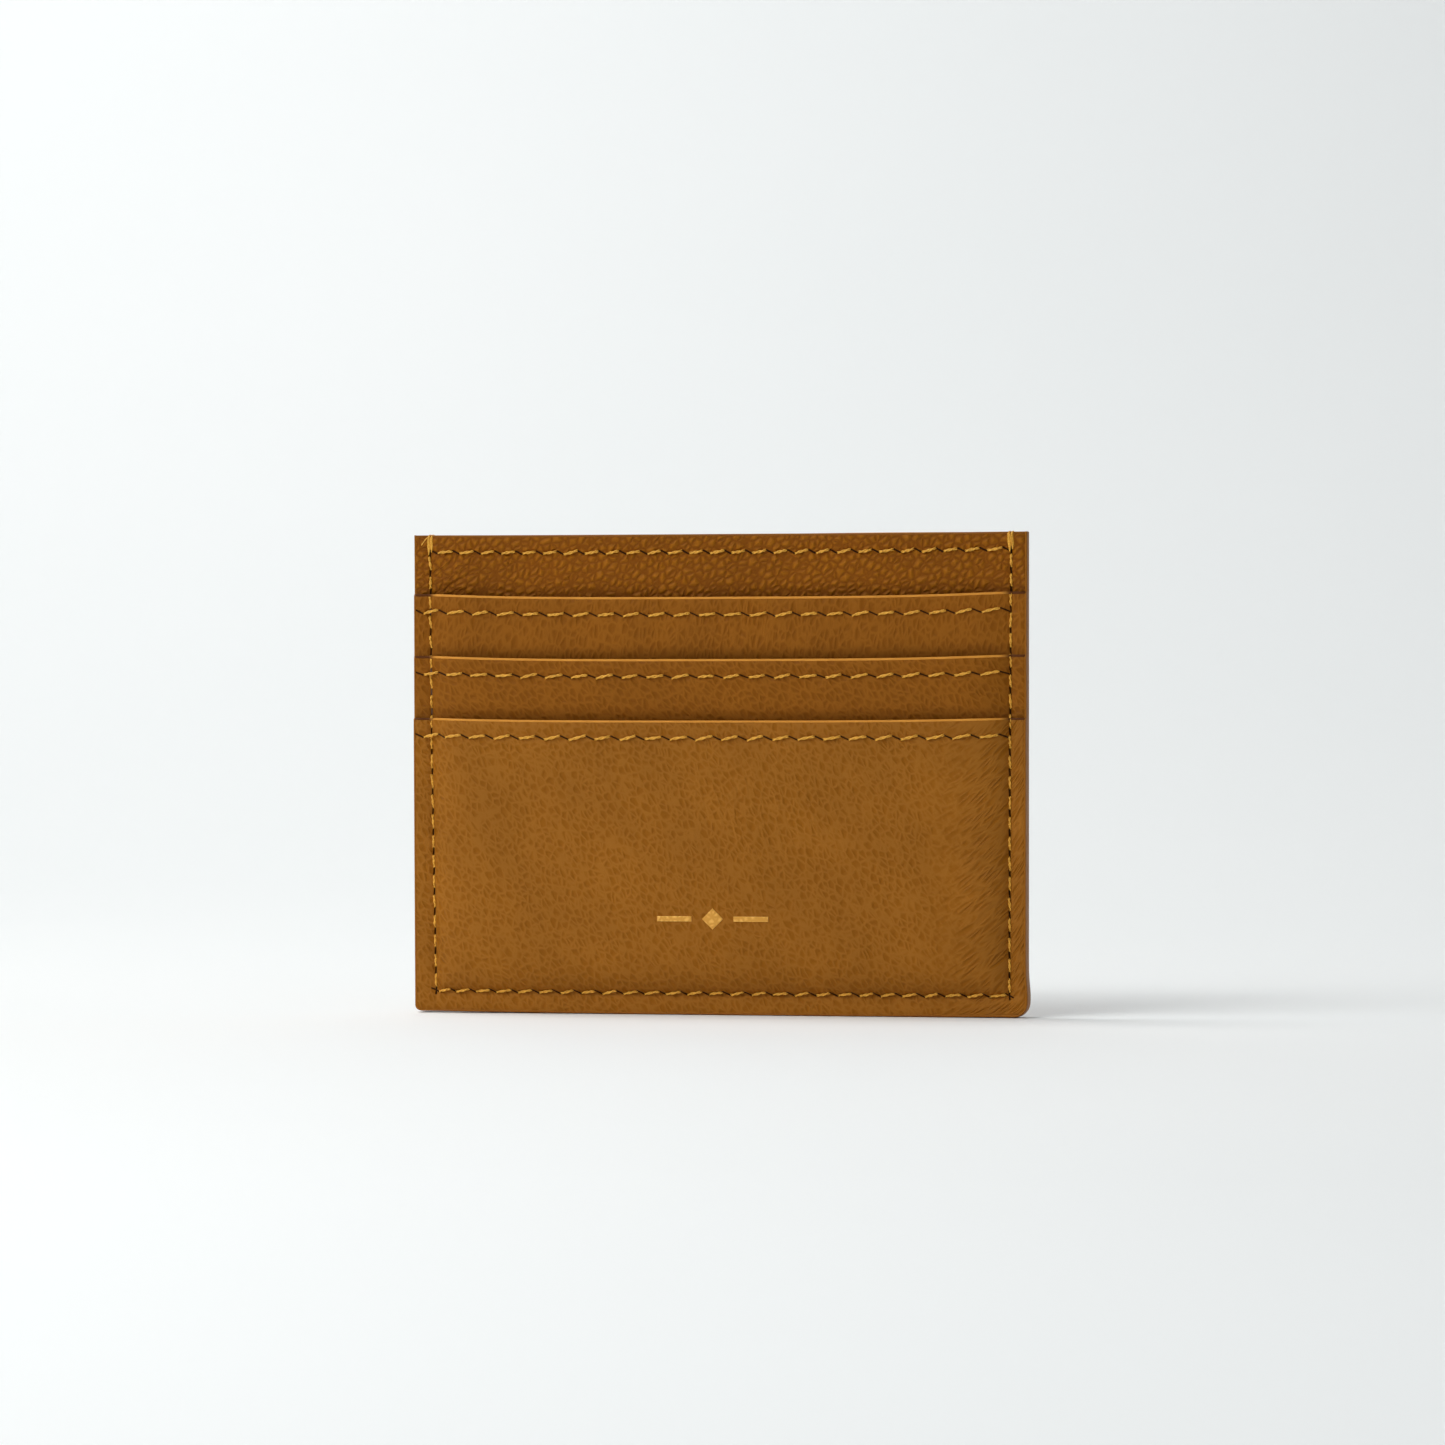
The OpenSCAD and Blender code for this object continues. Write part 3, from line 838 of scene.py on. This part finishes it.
# %% Build the weave group and the hidden materials
weave, given, result = new_group(
    "Plain weave", {"Vector": None, "Threads per metre": 3600.0}, ["Height", "Tone"])
threads = scaled(given["Vector"], given["Threads per metre"])
warp_wave, weft_wave = (calc("ABSOLUTE", calc("SINE", times(way, math.pi)))
                        for way in axes(threads)[::2])
odd = add_node(weave, "ShaderNodeTexChecker", {"Scale": 1.0, "Vector": threads})
over = add_node(weave, "ShaderNodeMix", {0: odd.outputs["Fac"], 2: warp_wave, 3: weft_wave})
plug(result["Height"], over.outputs[0])
plug(result["Tone"], noise(given["Vector"], 420.0, 3.0))


def cloth(name, dark, light):
    material, shader, place = new_material(name, Roughness=0.85, Sheen_Weight=0.25)
    yarn = use_group(weave, place)
    shade = times(yarn["Height"], yarn["Tone"])
    wear(shader, blend_colour(shade, dark, light), yarn["Height"], 0.05, 0.7)
    return material


def board(name, light, fibre):
    material, shader, place = new_material(name, Roughness=0.9)
    hairs = noise(squeezed(place, (0.25, 1.0, 1.0)), 2200.0, 4.0)
    wear(shader, blend_colour(hairs, light, fibre), hairs, 0.03, 0.4)
    return material


lining_cloth = cloth("Lining cloth", srgb(58, 34, 14), srgb(120, 80, 44))
fibre_board = board("Fibre board", srgb(196, 172, 132), srgb(150, 122, 84))
print("weave group nodes:", len(weave.nodes))

# %% Make the linings and boards
def hidden_sheet(node, inner, outer, material, slot, side=-1, name=None):
    """A coarse sheet over a CAD node's own outline. It returns the piece and its flat size."""
    x0, x1 = limit(node, LOW, X_AXIS), limit(node, HIGH, X_AXIS)
    z0, z1 = limit(node, LOW, Z_AXIS), limit(node, HIGH, Z_AXIS)
    xs = ruler(x0, x1, 1.6, (-seam_x, seam_x), 0.6, 3.0)
    zs = ruler(z0, z1, 1.6, (z0, z1), 0.6, 3.0)
    piece = dress(shell(name, xs, zs, inner, outer, side), material, slot, node)
    return piece, ((x1 - x0) * MM, (z1 - z0) * MM)


def offset_by(rule, amount):
    return lambda x, z: rule(x, z) + amount


def halfway(rise, depth):
    return lambda x, z: depth + rise * swell(x, z)


for node, name, inner, side in (
        ("front_lining", "front_pocket_lining", halfway(front_rise, 0.0), -1),
        ("back_lining", "back_pocket_lining", halfway(back_rise, 0.0), 1),
        ("upper_slot_lining", "upper_slot_lining_cloth", offset_by(upper_back, -lining_t), -1),
        ("middle_slot_lining", "middle_slot_lining_cloth", offset_by(middle_back, -lining_t), -1)):
    piece, flat = hidden_sheet(node, inner, offset_by(inner, lining_t - 0.01), lining_cloth,
                               "lining_fabric", side, name)
for node, name, rise, side in (("front_board", "front_stiffener", front_rise, -1),
                               ("back_board", "back_stiffener", back_rise, 1)):
    inner = halfway(rise, lining_t)
    hidden_sheet(node, inner, offset_by(inner, board_t - 0.01), fibre_board, "stiffener_board",
                 side, name)

# %% [markdown]
# ## Painted edges
# Cut leather edges are sanded, painted and waxed, which leaves a thin rounded skin a shade lighter
# than the hide. The lips and the back top edge are painted lighter still, a painted highlight, and
# the lips darker where they meet the seams, a painted shade. A lip's skin is a loft: at each step
# along the lip, a rounded ring as thick as the leather there. The ring round the three sewn sides
# takes in the whole stack.

# %% Build a loft and the edge paint
def loft(name, rings):
    """A closed skin through a row of rings, each with the same number of points."""
    rings = np.asarray(rings)
    count, size = rings.shape[:2]
    faces = []
    for r in range(count - 1):
        for k in range(size):
            a, b = r * size + k, r * size + (k + 1) % size
            faces.append((a, b, b + size, a + size))
    faces.append(tuple(range(size)))
    faces.append(tuple(range((count - 1) * size, count * size)))
    piece = mesh_object(name, rings.reshape(-1, 3), faces, 50)
    shape = bmesh.new()
    shape.from_mesh(piece.data)
    bmesh.ops.recalc_face_normals(shape, faces=shape.faces)
    shape.to_mesh(piece.data)
    shape.free()
    return piece


def paint(name, light, dark, shine, margin):
    """margin is the colour where the seam presses the edge flat. On the lips it is a painted shade,
    much darker than the paint.
    """
    material, shader, place = new_material(name, Specular_IOR_Level=shine)
    lines = noise(squeezed(place, (0.05, 1.0, 0.05)), 4200.0, 2.0)
    spots = noise(place, 700.0, 3.0)
    mix = times(plus(lines, spots), 0.5)
    # Towards the seam the colour turns to margin; on the lips this is a painted shade.
    pressed = remap(calc("ABSOLUTE", axes(place)[0]), (seam_x - 1.0) * MM, (seam_x + 0.3) * MM)
    wear(shader, blend_colour(pressed, blend_colour(mix, dark, light), margin), mix, 0.03, 0.5,
         Roughness=remap(spots, 0, 1, 0.36, 0.6))
    return material


# The lip and back top paints are the side paint made lighter as a painted highlight; the lips' dark
# margin colour is a painted shade.
highlit_lip_paint = paint("Lip paint, painted highlight and shade", srgb(226, 158, 66), srgb(190, 120, 36), 0.14, srgb(88, 46, 6))
highlit_back_top_paint = paint("Back top paint, painted highlight", srgb(222, 154, 64), srgb(186, 118, 36), 0.25, srgb(150, 92, 26))
top_coat = paint("Top paint", srgb(150, 92, 26), srgb(120, 68, 12), 0.15, srgb(128, 74, 14))
side_paint = paint("Side paint", srgb(158, 98, 26), srgb(126, 72, 12), 0.12, srgb(150, 92, 22))
turns = np.linspace(0, 2 * math.pi, 20, endpoint=False)
ring_u, ring_v = (np.sign(wave) * np.abs(wave) ** 0.6 for wave in (np.cos(turns), np.sin(turns)))


def lip_paint(node, name, lip, inner, outer, material=highlit_lip_paint, side=-1, lift=0.0):
    """The skin on a free edge, between the leather's two faces just under it. lift raises its
    right half in a low hump."""
    rings = []
    for x in ruler(-leather_half_w, leather_half_w, 0.8, (), 0.8):
        z = lip - coat_t
        a, b = at(inner, x, z - 0.05), at(outer, x, z - 0.3)
        middle, half = (a + b) / 2, (b - a) / 2 + 0.02
        up = z - 0.02 + (0.75 * coat_t + 0.02) * ring_v + lift * hump(x, 27, 20)
        rings.append(warp(x + 0 * ring_u, middle + half * ring_u, up, side))
    dress(loft(name, rings), material, "edge_paint", node)


lip_paint("upper_lip_coat", "upper_lip_paint", upper_lip, upper_back, upper_front)
lip_paint("middle_lip_coat", "middle_lip_paint", middle_lip, middle_back, middle_front)
lip_paint("lower_lip_coat", "lower_lip_paint", lower_lip, pocket_back, pocket_front)
lip_paint("front_top_edge_coat", "front_top_paint", case_h, front_inner, front_outer, top_coat)
lip_paint("back_top_edge_coat", "back_top_paint", case_h, back_inner, back_outer, highlit_back_top_paint, 1,
          lift=0.16)

# %% Paint the sewn sides and the base
def stack_front(z):
    """Depth of the sewn stack's front at one height."""
    steps = ((upper_lip, half_stack, upper_d + lining_t + facing_edge_t),
             (middle_lip, upper_d + lining_t + facing_edge_t, middle_d + lining_t + facing_edge_t),
             (lower_lip, middle_d + lining_t + facing_edge_t, pocket_margin_d))
    depth = half_stack
    for lip, above, below in steps:
        depth += (below - above) / (1 + math.exp((z - lip + 0.15) / 0.08))
    return depth


def one_side(radius):
    """Down the left side and round its corner: places and outward directions."""
    low, inner = radius + leather_low, leather_half_w - radius
    heights = ruler(low, case_h - 0.05, 0.7, (lower_lip, middle_lip, upper_lip), 0.15, 0.6)[::-1]
    down = [(-leather_half_w, z, -1, 0) for z in heights]
    turn = [(math.cos(a), math.sin(a)) for a in np.linspace(0, math.pi / 2, 8)[1:-1]]
    return down + [(-inner - radius * c, low - radius * s, -c, -s) for c, s in turn]


def outline_path():
    """Down the left side, along the base and up the right side."""
    left, right = one_side(left_corner_r), one_side(right_corner_r)
    base = [(x, leather_low, 0, -1) for x in
            ruler(left_corner_r - leather_half_w, leather_half_w - right_corner_r, 1.0, (), 1.0)]
    return left + base + [(-x, z, -nx, nz) for x, z, nx, nz in right[::-1]]


rings = []
for x, z, nx, nz in outline_path():
    front = stack_front(z) - 0.06
    middle, half = (front - half_stack + 0.06) / 2, (front + half_stack - 0.06) / 2
    out = coat_t * ring_u
    rings.append(warp(x + nx * out, middle + half * ring_v, np.minimum(z + nz * out, case_h), -1))
dress(loft("perimeter_paint", rings), side_paint, "edge_paint", "perimeter_edge_coat")

# %% [markdown]
# ## A stitch as a Geometry Nodes tree
# A sewing thread is two plies twisted together. The tree winds two spirals of one unit's length,
# thins them at both ends, bows them so that the ends dive into their holes, and puts one on each
# point of a row. Points carry the stitch's turn and length, and the seed varies them slightly.

# %% Build the stitch tree
ply_turn_r, ply_r, end_thin = 0.22, 0.29, 0.3


def stitch_tree():
    tree = bpy.data.node_groups.new("Thread stitches", "GeometryNodeTree")
    sockets = {"Points": "Geometry", "Thread diameter": "Float", "Bow": "Float",
               "Twists": "Float", "Seed": "Int", "Thread": "Material"}
    for label, kind in sockets.items():
        tree.interface.new_socket(label, in_out="INPUT", socket_type="NodeSocket" + kind)
    tree.interface.new_socket("Stitches", in_out="OUTPUT", socket_type="NodeSocketGeometry")
    given = tree.nodes.new("NodeGroupInput").outputs

    def step(kind, inputs=None, **settings):
        """A node whose first output is the one that matters."""
        return add_node(tree, kind, inputs, **settings).outputs[0]

    # Two plies wind round one unit of length.
    radius = times(given["Thread diameter"], ply_turn_r)
    spiral = step("GeometryNodeCurveSpiral", {
        "Resolution": 8, "Height": 1.0, "Reverse": False, "Rotations": given["Twists"],
        "Start Radius": radius, "End Radius": radius})
    other = step("GeometryNodeTransform", {"Rotation": (0, 0, math.pi), "Geometry": spiral})
    plies = add_node(tree, "GeometryNodeJoinGeometry")
    for ply in (spiral, other):
        plug(plies.inputs[0], ply)
    even = step("GeometryNodeResampleCurve", {"Count": 9, "Curve": plies.outputs[0]})

    # They thin at the ends, and bow so that the ends dive into the holes.
    along = add_node(tree, "GeometryNodeSplineParameter").outputs["Factor"]
    ends = times(along, minus(1.0, along), 4.0)
    full = calc("POWER", plus(ends, 0.02), end_thin)
    lift = combined(tree, Y=times(minus(full, 0.8), given["Bow"]))
    bowed = step("GeometryNodeSetPosition", {"Geometry": even, "Offset": lift})
    ring = step("GeometryNodeCurvePrimitiveCircle",
                {"Resolution": 6, "Radius": times(given["Thread diameter"], ply_r)})
    skin = add_node(tree, "GeometryNodeCurveToMesh",
                    {"Fill Caps": True, "Curve": bowed, "Profile Curve": ring})
    if "Scale" in skin.inputs:
        plug(skin.inputs["Scale"], full)
    else:
        thin = step("GeometryNodeSetCurveRadius", {"Curve": bowed, "Radius": full})
        plug(skin.inputs["Curve"], thin)

    # Each point's own turn and length vary a little, as a machine's stitches do.
    turn = step("GeometryNodeInputNamedAttribute", {"Name": "turn"}, data_type="FLOAT_VECTOR")
    size = step("GeometryNodeInputNamedAttribute", {"Name": "length"}, data_type="FLOAT")
    wobble = step("FunctionNodeRandomValue",
                  {"Min": (-0.06, -0.09, -0.6), "Max": (0.06, 0.09, 0.6), "Seed": given["Seed"]},
                  data_type="FLOAT_VECTOR")
    stretch = add_node(tree, "FunctionNodeRandomValue", {2: 0.9, 3: 1.07, "Seed": given["Seed"]},
                       data_type="FLOAT").outputs[1]
    both = step("FunctionNodeRotateRotation", {
        "Rotation": step("FunctionNodeEulerToRotation", {0: turn}),
        "Rotate By": step("FunctionNodeEulerToRotation", {0: wobble})}, rotation_space="LOCAL")
    scale = combined(tree, X=1.0, Y=1.0, Z=times(size, stretch))
    centred = step("GeometryNodeTransform",
                   {"Translation": (0, 0, -0.5), "Geometry": skin.outputs[0]})
    laid = step("GeometryNodeInstanceOnPoints", {
        "Points": given["Points"], "Instance": centred, "Rotation": both, "Scale": scale})
    smooth = step("GeometryNodeSetShadeSmooth",
                  {"Geometry": step("GeometryNodeRealizeInstances", {0: laid})})
    painted = step("GeometryNodeSetMaterial", {"Geometry": smooth, "Material": given["Thread"]})
    plug(tree.nodes.new("NodeGroupOutput").inputs[0], painted)
    return tree


stitches = stitch_tree()
socket_of = {item.name: item.identifier for item in stitches.interface.items_tree
             if item.in_out == "INPUT"}
print("stitch tree nodes:", len(stitches.nodes))

# %% [markdown]
# ## Thread
# The thread is waxed and golden. Its plies are real shape, and the material adds fine fibres in
# a lighter and a darker tone and the soft shine of the wax.

# %% Make the thread's material
def thread(name, light, dark):
    material, shader, place = new_material(name, Specular_IOR_Level=0.3)
    fibres = noise(place, 6500.0, 2.0)
    wear(shader, blend_colour(remap(fibres, 0.3, 0.65), dark, light), fibres, 0.03, 0.6,
         Roughness=remap(fibres, 0, 1, 0.42, 0.6))
    return material


gold_thread = thread("Golden thread", srgb(240, 182, 70), srgb(196, 132, 32))
print("the thread's material has", len(gold_thread.node_tree.nodes), "nodes")

# %% [markdown]
# ## Sew the rows and the seam
# A row is a list of stitches, each from one hole to the next, with its start a little below and
# its end a little above the line. The thread lies on the leather's own face, so its depth comes
# from the same rules that shaped the leather.

# %% Sew
def bar(a, b, face, slant, share, side=-1, sink=0.0):
    """One stitch between two holes on a face: its middle, heading and length in metres."""
    (ax, az), (bx, bz) = a, b
    cx, cz = (ax + bx) / 2, (az + bz) / 2
    dx, dz = (bx - ax) * share / 2, (bz - az) * share / 2
    ends = []
    for sign in (-1, 1):
        x, z = cx + sign * (dx + slant[0]), cz + sign * (dz + slant[1])
        depth = at(face, x, z) + thread_d / 2 - sink
        ends.append(Vector(warp(np.array(x), depth, np.array(z), side)))
    return ends[0], ends[1]


def sew(name, bars, side, diameter, seed, bow=0.26):
    """The stitches of one list of bars, as a plain mesh."""
    points = bpy.data.meshes.new(name + "_points")
    points.from_pydata([tuple((a + b) / 2) for a, b in bars], [], [])
    turns, lengths = [], []
    for a, b in bars:
        heading = (b - a).normalized()
        outward = Vector((0, side, 0))
        across_way = outward.cross(heading).normalized()
        outward = heading.cross(across_way)
        turns.append(Matrix((across_way, outward, heading)).transposed().to_euler())
        lengths.append((b - a).length)
    turn = points.attributes.new("turn", "FLOAT_VECTOR", "POINT")
    turn.data.foreach_set("vector", np.array(turns).ravel())
    points.attributes.new("length", "FLOAT", "POINT").data.foreach_set("value", lengths)
    holder = bpy.data.objects.new(name, points)
    bpy.context.scene.collection.objects.link(holder)
    modifier = holder.modifiers.new("Sew", "NODES")
    modifier.node_group = stitches
    for label, value in (("Thread diameter", diameter * MM), ("Bow", bow * MM), ("Twists", 1.1),
                         ("Seed", seed), ("Thread", gold_thread)):
        modifier[socket_of[label]] = value
    graph = bpy.context.evaluated_depsgraph_get()
    made = bpy.data.meshes.new_from_object(holder.evaluated_get(graph))
    holder.modifiers.clear()
    holder.data = made
    return holder


def join(name, pieces):
    """One mesh from several, under a new name."""
    shape = bmesh.new()
    for piece in pieces:
        shape.from_mesh(piece.data)
        bpy.data.objects.remove(piece)
    mesh = bpy.data.meshes.new(name)
    shape.to_mesh(mesh)
    shape.free()
    mesh.polygons.foreach_set("use_smooth", [True] * len(mesh.polygons))
    piece = bpy.data.objects.new(name, mesh)
    bpy.context.scene.collection.objects.link(piece)
    return piece


def row_bars(holes, z, face, slant=0.27, share=0.66, side=-1):
    return [bar((a, z), (b, z), face, (0, slant), share, side)
            for a, b in zip(holes[:-1], holes[1:])]


row_thread_d, side_thread_d, base_thread_d = 0.52, 0.46, 0.5
for name, holes, level, face, seed, side, slant in (
        ("front_top", top_holes, "top", front_outer, 21, -1, 0.25),
        ("back_top", top_holes, "top", back_outer, 22, 1, -0.25),
        ("upper_lip", lip_holes, "upper", upper_front, 23, -1, 0.25),
        ("middle_lip", lip_holes, "middle", middle_front, 24, -1, 0.25),
        ("lower_lip", lip_holes, "lower", pocket_front, 25, -1, 0.28)):
    bars = row_bars(holes, row_z_of[level], face, slant, side=side)
    row = sew(f"{name}_stitches", bars, side, row_thread_d, seed)
    dress(row, gold_thread, "sewing_thread", f"{name}_row_thread")


def front_face(x, z):
    """The outermost front face at one place."""
    for lip, face in (
            (lower_lip, pocket_front), (middle_lip, middle_front), (upper_lip, upper_front)):
        if float(z) < lip - 0.1:
            return face(x, z)
    return front_outer(x, z)


seam_parts = []
for side, face, seed in ((-1, front_face, 31), (1, back_outer, 34)):
    upright = [bar((sx, a), (sx, b), face, (0.06 * side, 0), 0.7, side, 0.1)
               for sx in (-seam_x, seam_x) for a, b in zip(side_holes[:-1], side_holes[1:])]
    level = row_bars(base_holes, seam_z, face, -0.24 * side, 0.7, side)
    seam_parts.append(sew("seam_sides", upright, side, side_thread_d, seed, 0.2))
    seam_parts.append(sew("seam_base", level, side, base_thread_d, seed + 1))
dress(join("perimeter_stitches", seam_parts), gold_thread, "sewing_thread", "perimeter_seam_thread")

# %% [markdown]
# ## Slot floors and bartacks
# Two short rows inside close the floors of the upper and middle slots. At both ends of the main
# seam the machine sews back over itself, so a doubled thread wraps the top edge there, and a
# cut tail of thread stands off a little.

# %% Sew the floors and the bartacks
for node, name, seed in (("upper_floor_seam_thread", "upper_floor_stitches", 41),
                         ("middle_floor_seam_thread", "middle_floor_stitches", 42)):
    z = (limit(node, LOW, Z_AXIS) + limit(node, HIGH, Z_AXIS)) / 2
    holes = evenly(limit(node, LOW, X_AXIS), limit(node, HIGH, X_AXIS), row_pitch)
    inside = offset_by(upper_back if "upper" in node else middle_back, -0.25)
    floor_row = sew(name, row_bars(holes, z, inside, 0.0), -1, 0.3, seed)
    dress(floor_row, gold_thread, "sewing_thread", node)


def cord_rings(path, radius, twist=9.0, lobes=0.16):
    """Rings of a two-ply cord along a path in metres, thinner at its ends."""
    path = np.asarray(path, float)
    heading = np.gradient(path, axis=0)
    heading /= np.linalg.norm(heading, axis=1)[:, None]
    side_way = np.cross(heading, np.array([1.0, 0.02, 0.03]))
    side_way /= np.linalg.norm(side_way, axis=1)[:, None]
    up_way = np.cross(heading, side_way)
    angles = np.linspace(0, 2 * math.pi, 10, endpoint=False)
    rings = []
    for k, centre in enumerate(path):
        share = k / (len(path) - 1)
        ease = min(1.0, 0.35 + 6 * min(share, 1 - share))
        r = radius * MM * ease * (1 + lobes * np.cos(2 * (angles - twist * share)))
        rings.append(centre + np.outer(r * np.cos(angles), side_way[k])
                     + np.outer(r * np.sin(angles), up_way[k]))
    return rings


def over_the_edge(x, low, lean):
    """A path up the front, over both top edges and down the back."""
    front, back = at(front_outer, x, low) + 0.1, at(back_outer, x, low) + 0.1
    middle, half = (back - front) / 2, (back + front) / 2
    top = case_h - 0.2
    climb = np.linspace(low, top - 0.5, 7)
    steps = [(x + lean * (z - low), -front, z) for z in climb]
    for angle in np.linspace(0.15, math.pi - 0.15, 9):
        z = top - 0.45 + 0.5 * math.sin(angle) ** 0.6
        steps.append((x + lean * (top - low), middle - half * math.cos(angle), z))
    steps += [(x + lean * (z - low), back, z) for z in climb[::-1]]
    return [warp(np.array(px), -py, np.array(pz)) for px, py, pz in steps]


for node, x, lean, tail_way in (("left_bartack", -seam_x, 0.03, -0.3),
                                ("right_bartack", seam_x, -0.05, 0.18)):
    strands = [loft("strand", cord_rings(over_the_edge(x + gap, bartack_z - 0.2 + low, lean), 0.25))
               for gap, low in ((-0.22, 0.0), (0.24, 0.45))]
    start = warp(np.array(x - 0.3), half_stack + 0.3, np.array(case_h - 0.4))
    tail = [start + MM * np.array([tail_way * t, -0.25 * t + 0.05 * t * t, -0.42 * t])
            for t in np.linspace(0, 3.2, 9)]
    strands.append(loft("strand", cord_rings(tail, 0.09, 5.0, 0.1)))
    dress(join(f"{node}_thread", strands), gold_thread, "sewing_thread", node)

# %% [markdown]
# ## The foil ornament
# A heated die presses gold foil into the grain. The ornament is a plain diamond between two short
# bars, each a thin plate that follows the pocket's face inside its pressed bed, worn a little
# where the grain stands highest.

# %% Stamp the ornament
foil_under, foil_edge, foil_t, foil_clear = 0.16, 1.2, 0.05, 0.01


def foil(name):
    material, shader, place = new_material(name, Roughness=0.36)
    height = use_group(grain, squeezed(place, (1.0, 0.35, 1.0)), Pebbles_per_metre=1180)["Height"]
    colour = blend_colour(remap(height, 0.2, 0.9), srgb(214, 152, 56), srgb(240, 184, 88))
    wear(shader, colour, height, 0.04, Metallic=remap(height, 0, 1, 0.25, 0.45))
    return material


def plate(name, corners, steps):
    """A thin plate over four corners, given in order, lying on the pocket's pressed face."""
    u, v = np.meshgrid(np.linspace(0, 1, steps[0]), np.linspace(0, 1, steps[1]))
    weights = ((1 - u) * (1 - v), u * (1 - v), u * v, (1 - u) * v)
    x, z = (sum(weight * corner[axis] for weight, corner in zip(weights, corners))
            for axis in (0, 1))
    face = pocket_face(x, z)
    edge = np.minimum(np.minimum(u, 1 - u) * steps[0], np.minimum(v, 1 - v) * steps[1])
    outer = face + foil_clear + foil_t * clamped(edge / foil_edge) ** 0.5
    return closed_grid(name, warp(x, face - foil_under, z), warp(x, outer, z), False)


gold_foil = foil("Gold foil")
h, low, high = mark_half_h, mark_z - bar_half_h, mark_z + bar_half_h
plates = [plate("diamond", [(0, mark_z - h), (h, mark_z), (0, mark_z + h), (-h, mark_z)], (16, 16))]
for x0, x1 in ((-mark_half_w, -bar_from), (bar_from, mark_half_w)):
    plates.append(plate("bar", [(x0, low), (x1, low), (x1, high), (x0, high)], (34, 6)))
dress(join("foil_diamond_and_bars", plates), gold_foil, "gold_foil", "foil_ornament")

# %% [markdown]
# ## Stage, light and camera
# The holder stands on a pale sweep with no horizon. One broad key light comes from the upper
# left, close enough to fall off towards the right. A weak fill and a pale world lighten the
# shadows, and one light each is kept for the wall and the floor. The camera is level and a
# little to the right, with a long lens, as for a catalogue.

# %% Build the sweep
def sweep(name, width, front, back, rise, radius):
    """A floor that curves up into a wall."""
    curve = [(back - radius + radius * math.sin(angle), radius - radius * math.cos(angle))
             for angle in np.linspace(0, math.pi / 2, 14)[1:]]
    profile = [(front, 0.0), (back - radius, 0.0)] + curve + [(back, rise)]
    points = [(x, y, z) for x in (-width / 2, width / 2) for y, z in profile]
    n = len(profile)
    faces = [(k, k + n, k + n + 1, k + 1) for k in range(n - 1)]
    piece = mesh_object(name, points, faces)
    return piece


stage_paint, shader, place = new_material("Pale sweep", Roughness=0.8)
mottle = noise(place, 3.0, 2.0)
plug(shader.inputs["Base Color"], blend_colour(mottle, srgb(240, 243, 243), srgb(244, 246, 246)))
backdrop = sweep("pale_sweep", width=6.0, front=-2.5, back=1.2, rise=3.0, radius=0.8)
backdrop.data.materials.append(stage_paint)
print("the sweep has", len(backdrop.data.polygons), "faces")

# %% Light it
def softbox(name, place, target, size, power, colour, spread=180):
    """A round softbox. A narrow spread, in degrees, is like a grid of honeycomb on it."""
    lamp = bpy.data.lights.new(name, "AREA")
    lamp.shape, lamp.size, lamp.energy, lamp.color = "DISK", size, power, colour
    lamp.spread = math.radians(spread)
    holder = bpy.data.objects.new(name, lamp)
    holder.location = place
    holder.rotation_euler = (Vector(target) - Vector(place)).to_track_quat("-Z", "Y").to_euler()
    bpy.context.scene.collection.objects.link(holder)


soft_white, centre = (1.0, 1.0, 0.99), (0.0, 0.0, case_h / 2 * MM)
softbox("key", (-0.5, -0.34, 0.45), (-0.2, 0.0, 0.06), 0.8, 0.77, (1.0, 0.985, 0.96), 62)
softbox("fill", (0.9, -0.9, 0.3), centre, 0.8, 0.1, (0.96, 0.98, 1.0))
softbox("wall_light", (-0.8, 0.3, 1.5), (-0.25, 1.1, 0.05), 0.8, 9.6, soft_white, 130)
softbox("floor_light", (-0.25, -0.8, 0.7), (-0.08, -0.55, 0.0), 0.4, 1.25, soft_white, 80)
world = bpy.data.worlds.new("Studio")
world.use_nodes = True
sky = world.node_tree.nodes["Background"].inputs
sky["Color"].default_value, sky["Strength"].default_value = (0.95, 0.97, 1.0, 1.0), 0.25
bpy.context.scene.world = world
bpy.context.scene.view_settings.view_transform = "Standard"
print("lights:", [light.name for light in bpy.data.lights])

# %% Set the camera
camera = bpy.data.objects.new("camera", bpy.data.cameras.new("camera"))
camera.data.lens, camera.data.sensor_width = 140.0, 36.0
camera.data.clip_end = 20.0
camera.location = (0.1724, -0.8839, 0.0468)
camera.rotation_euler = (math.pi / 2, 0, math.radians(11.0))
bpy.context.scene.collection.objects.link(camera)
bpy.context.scene.camera = camera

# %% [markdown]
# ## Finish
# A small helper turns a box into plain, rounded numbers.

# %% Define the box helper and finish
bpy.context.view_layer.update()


def plain(box):
    return [[round(float(c), 6) for c in corner] for corner in box]
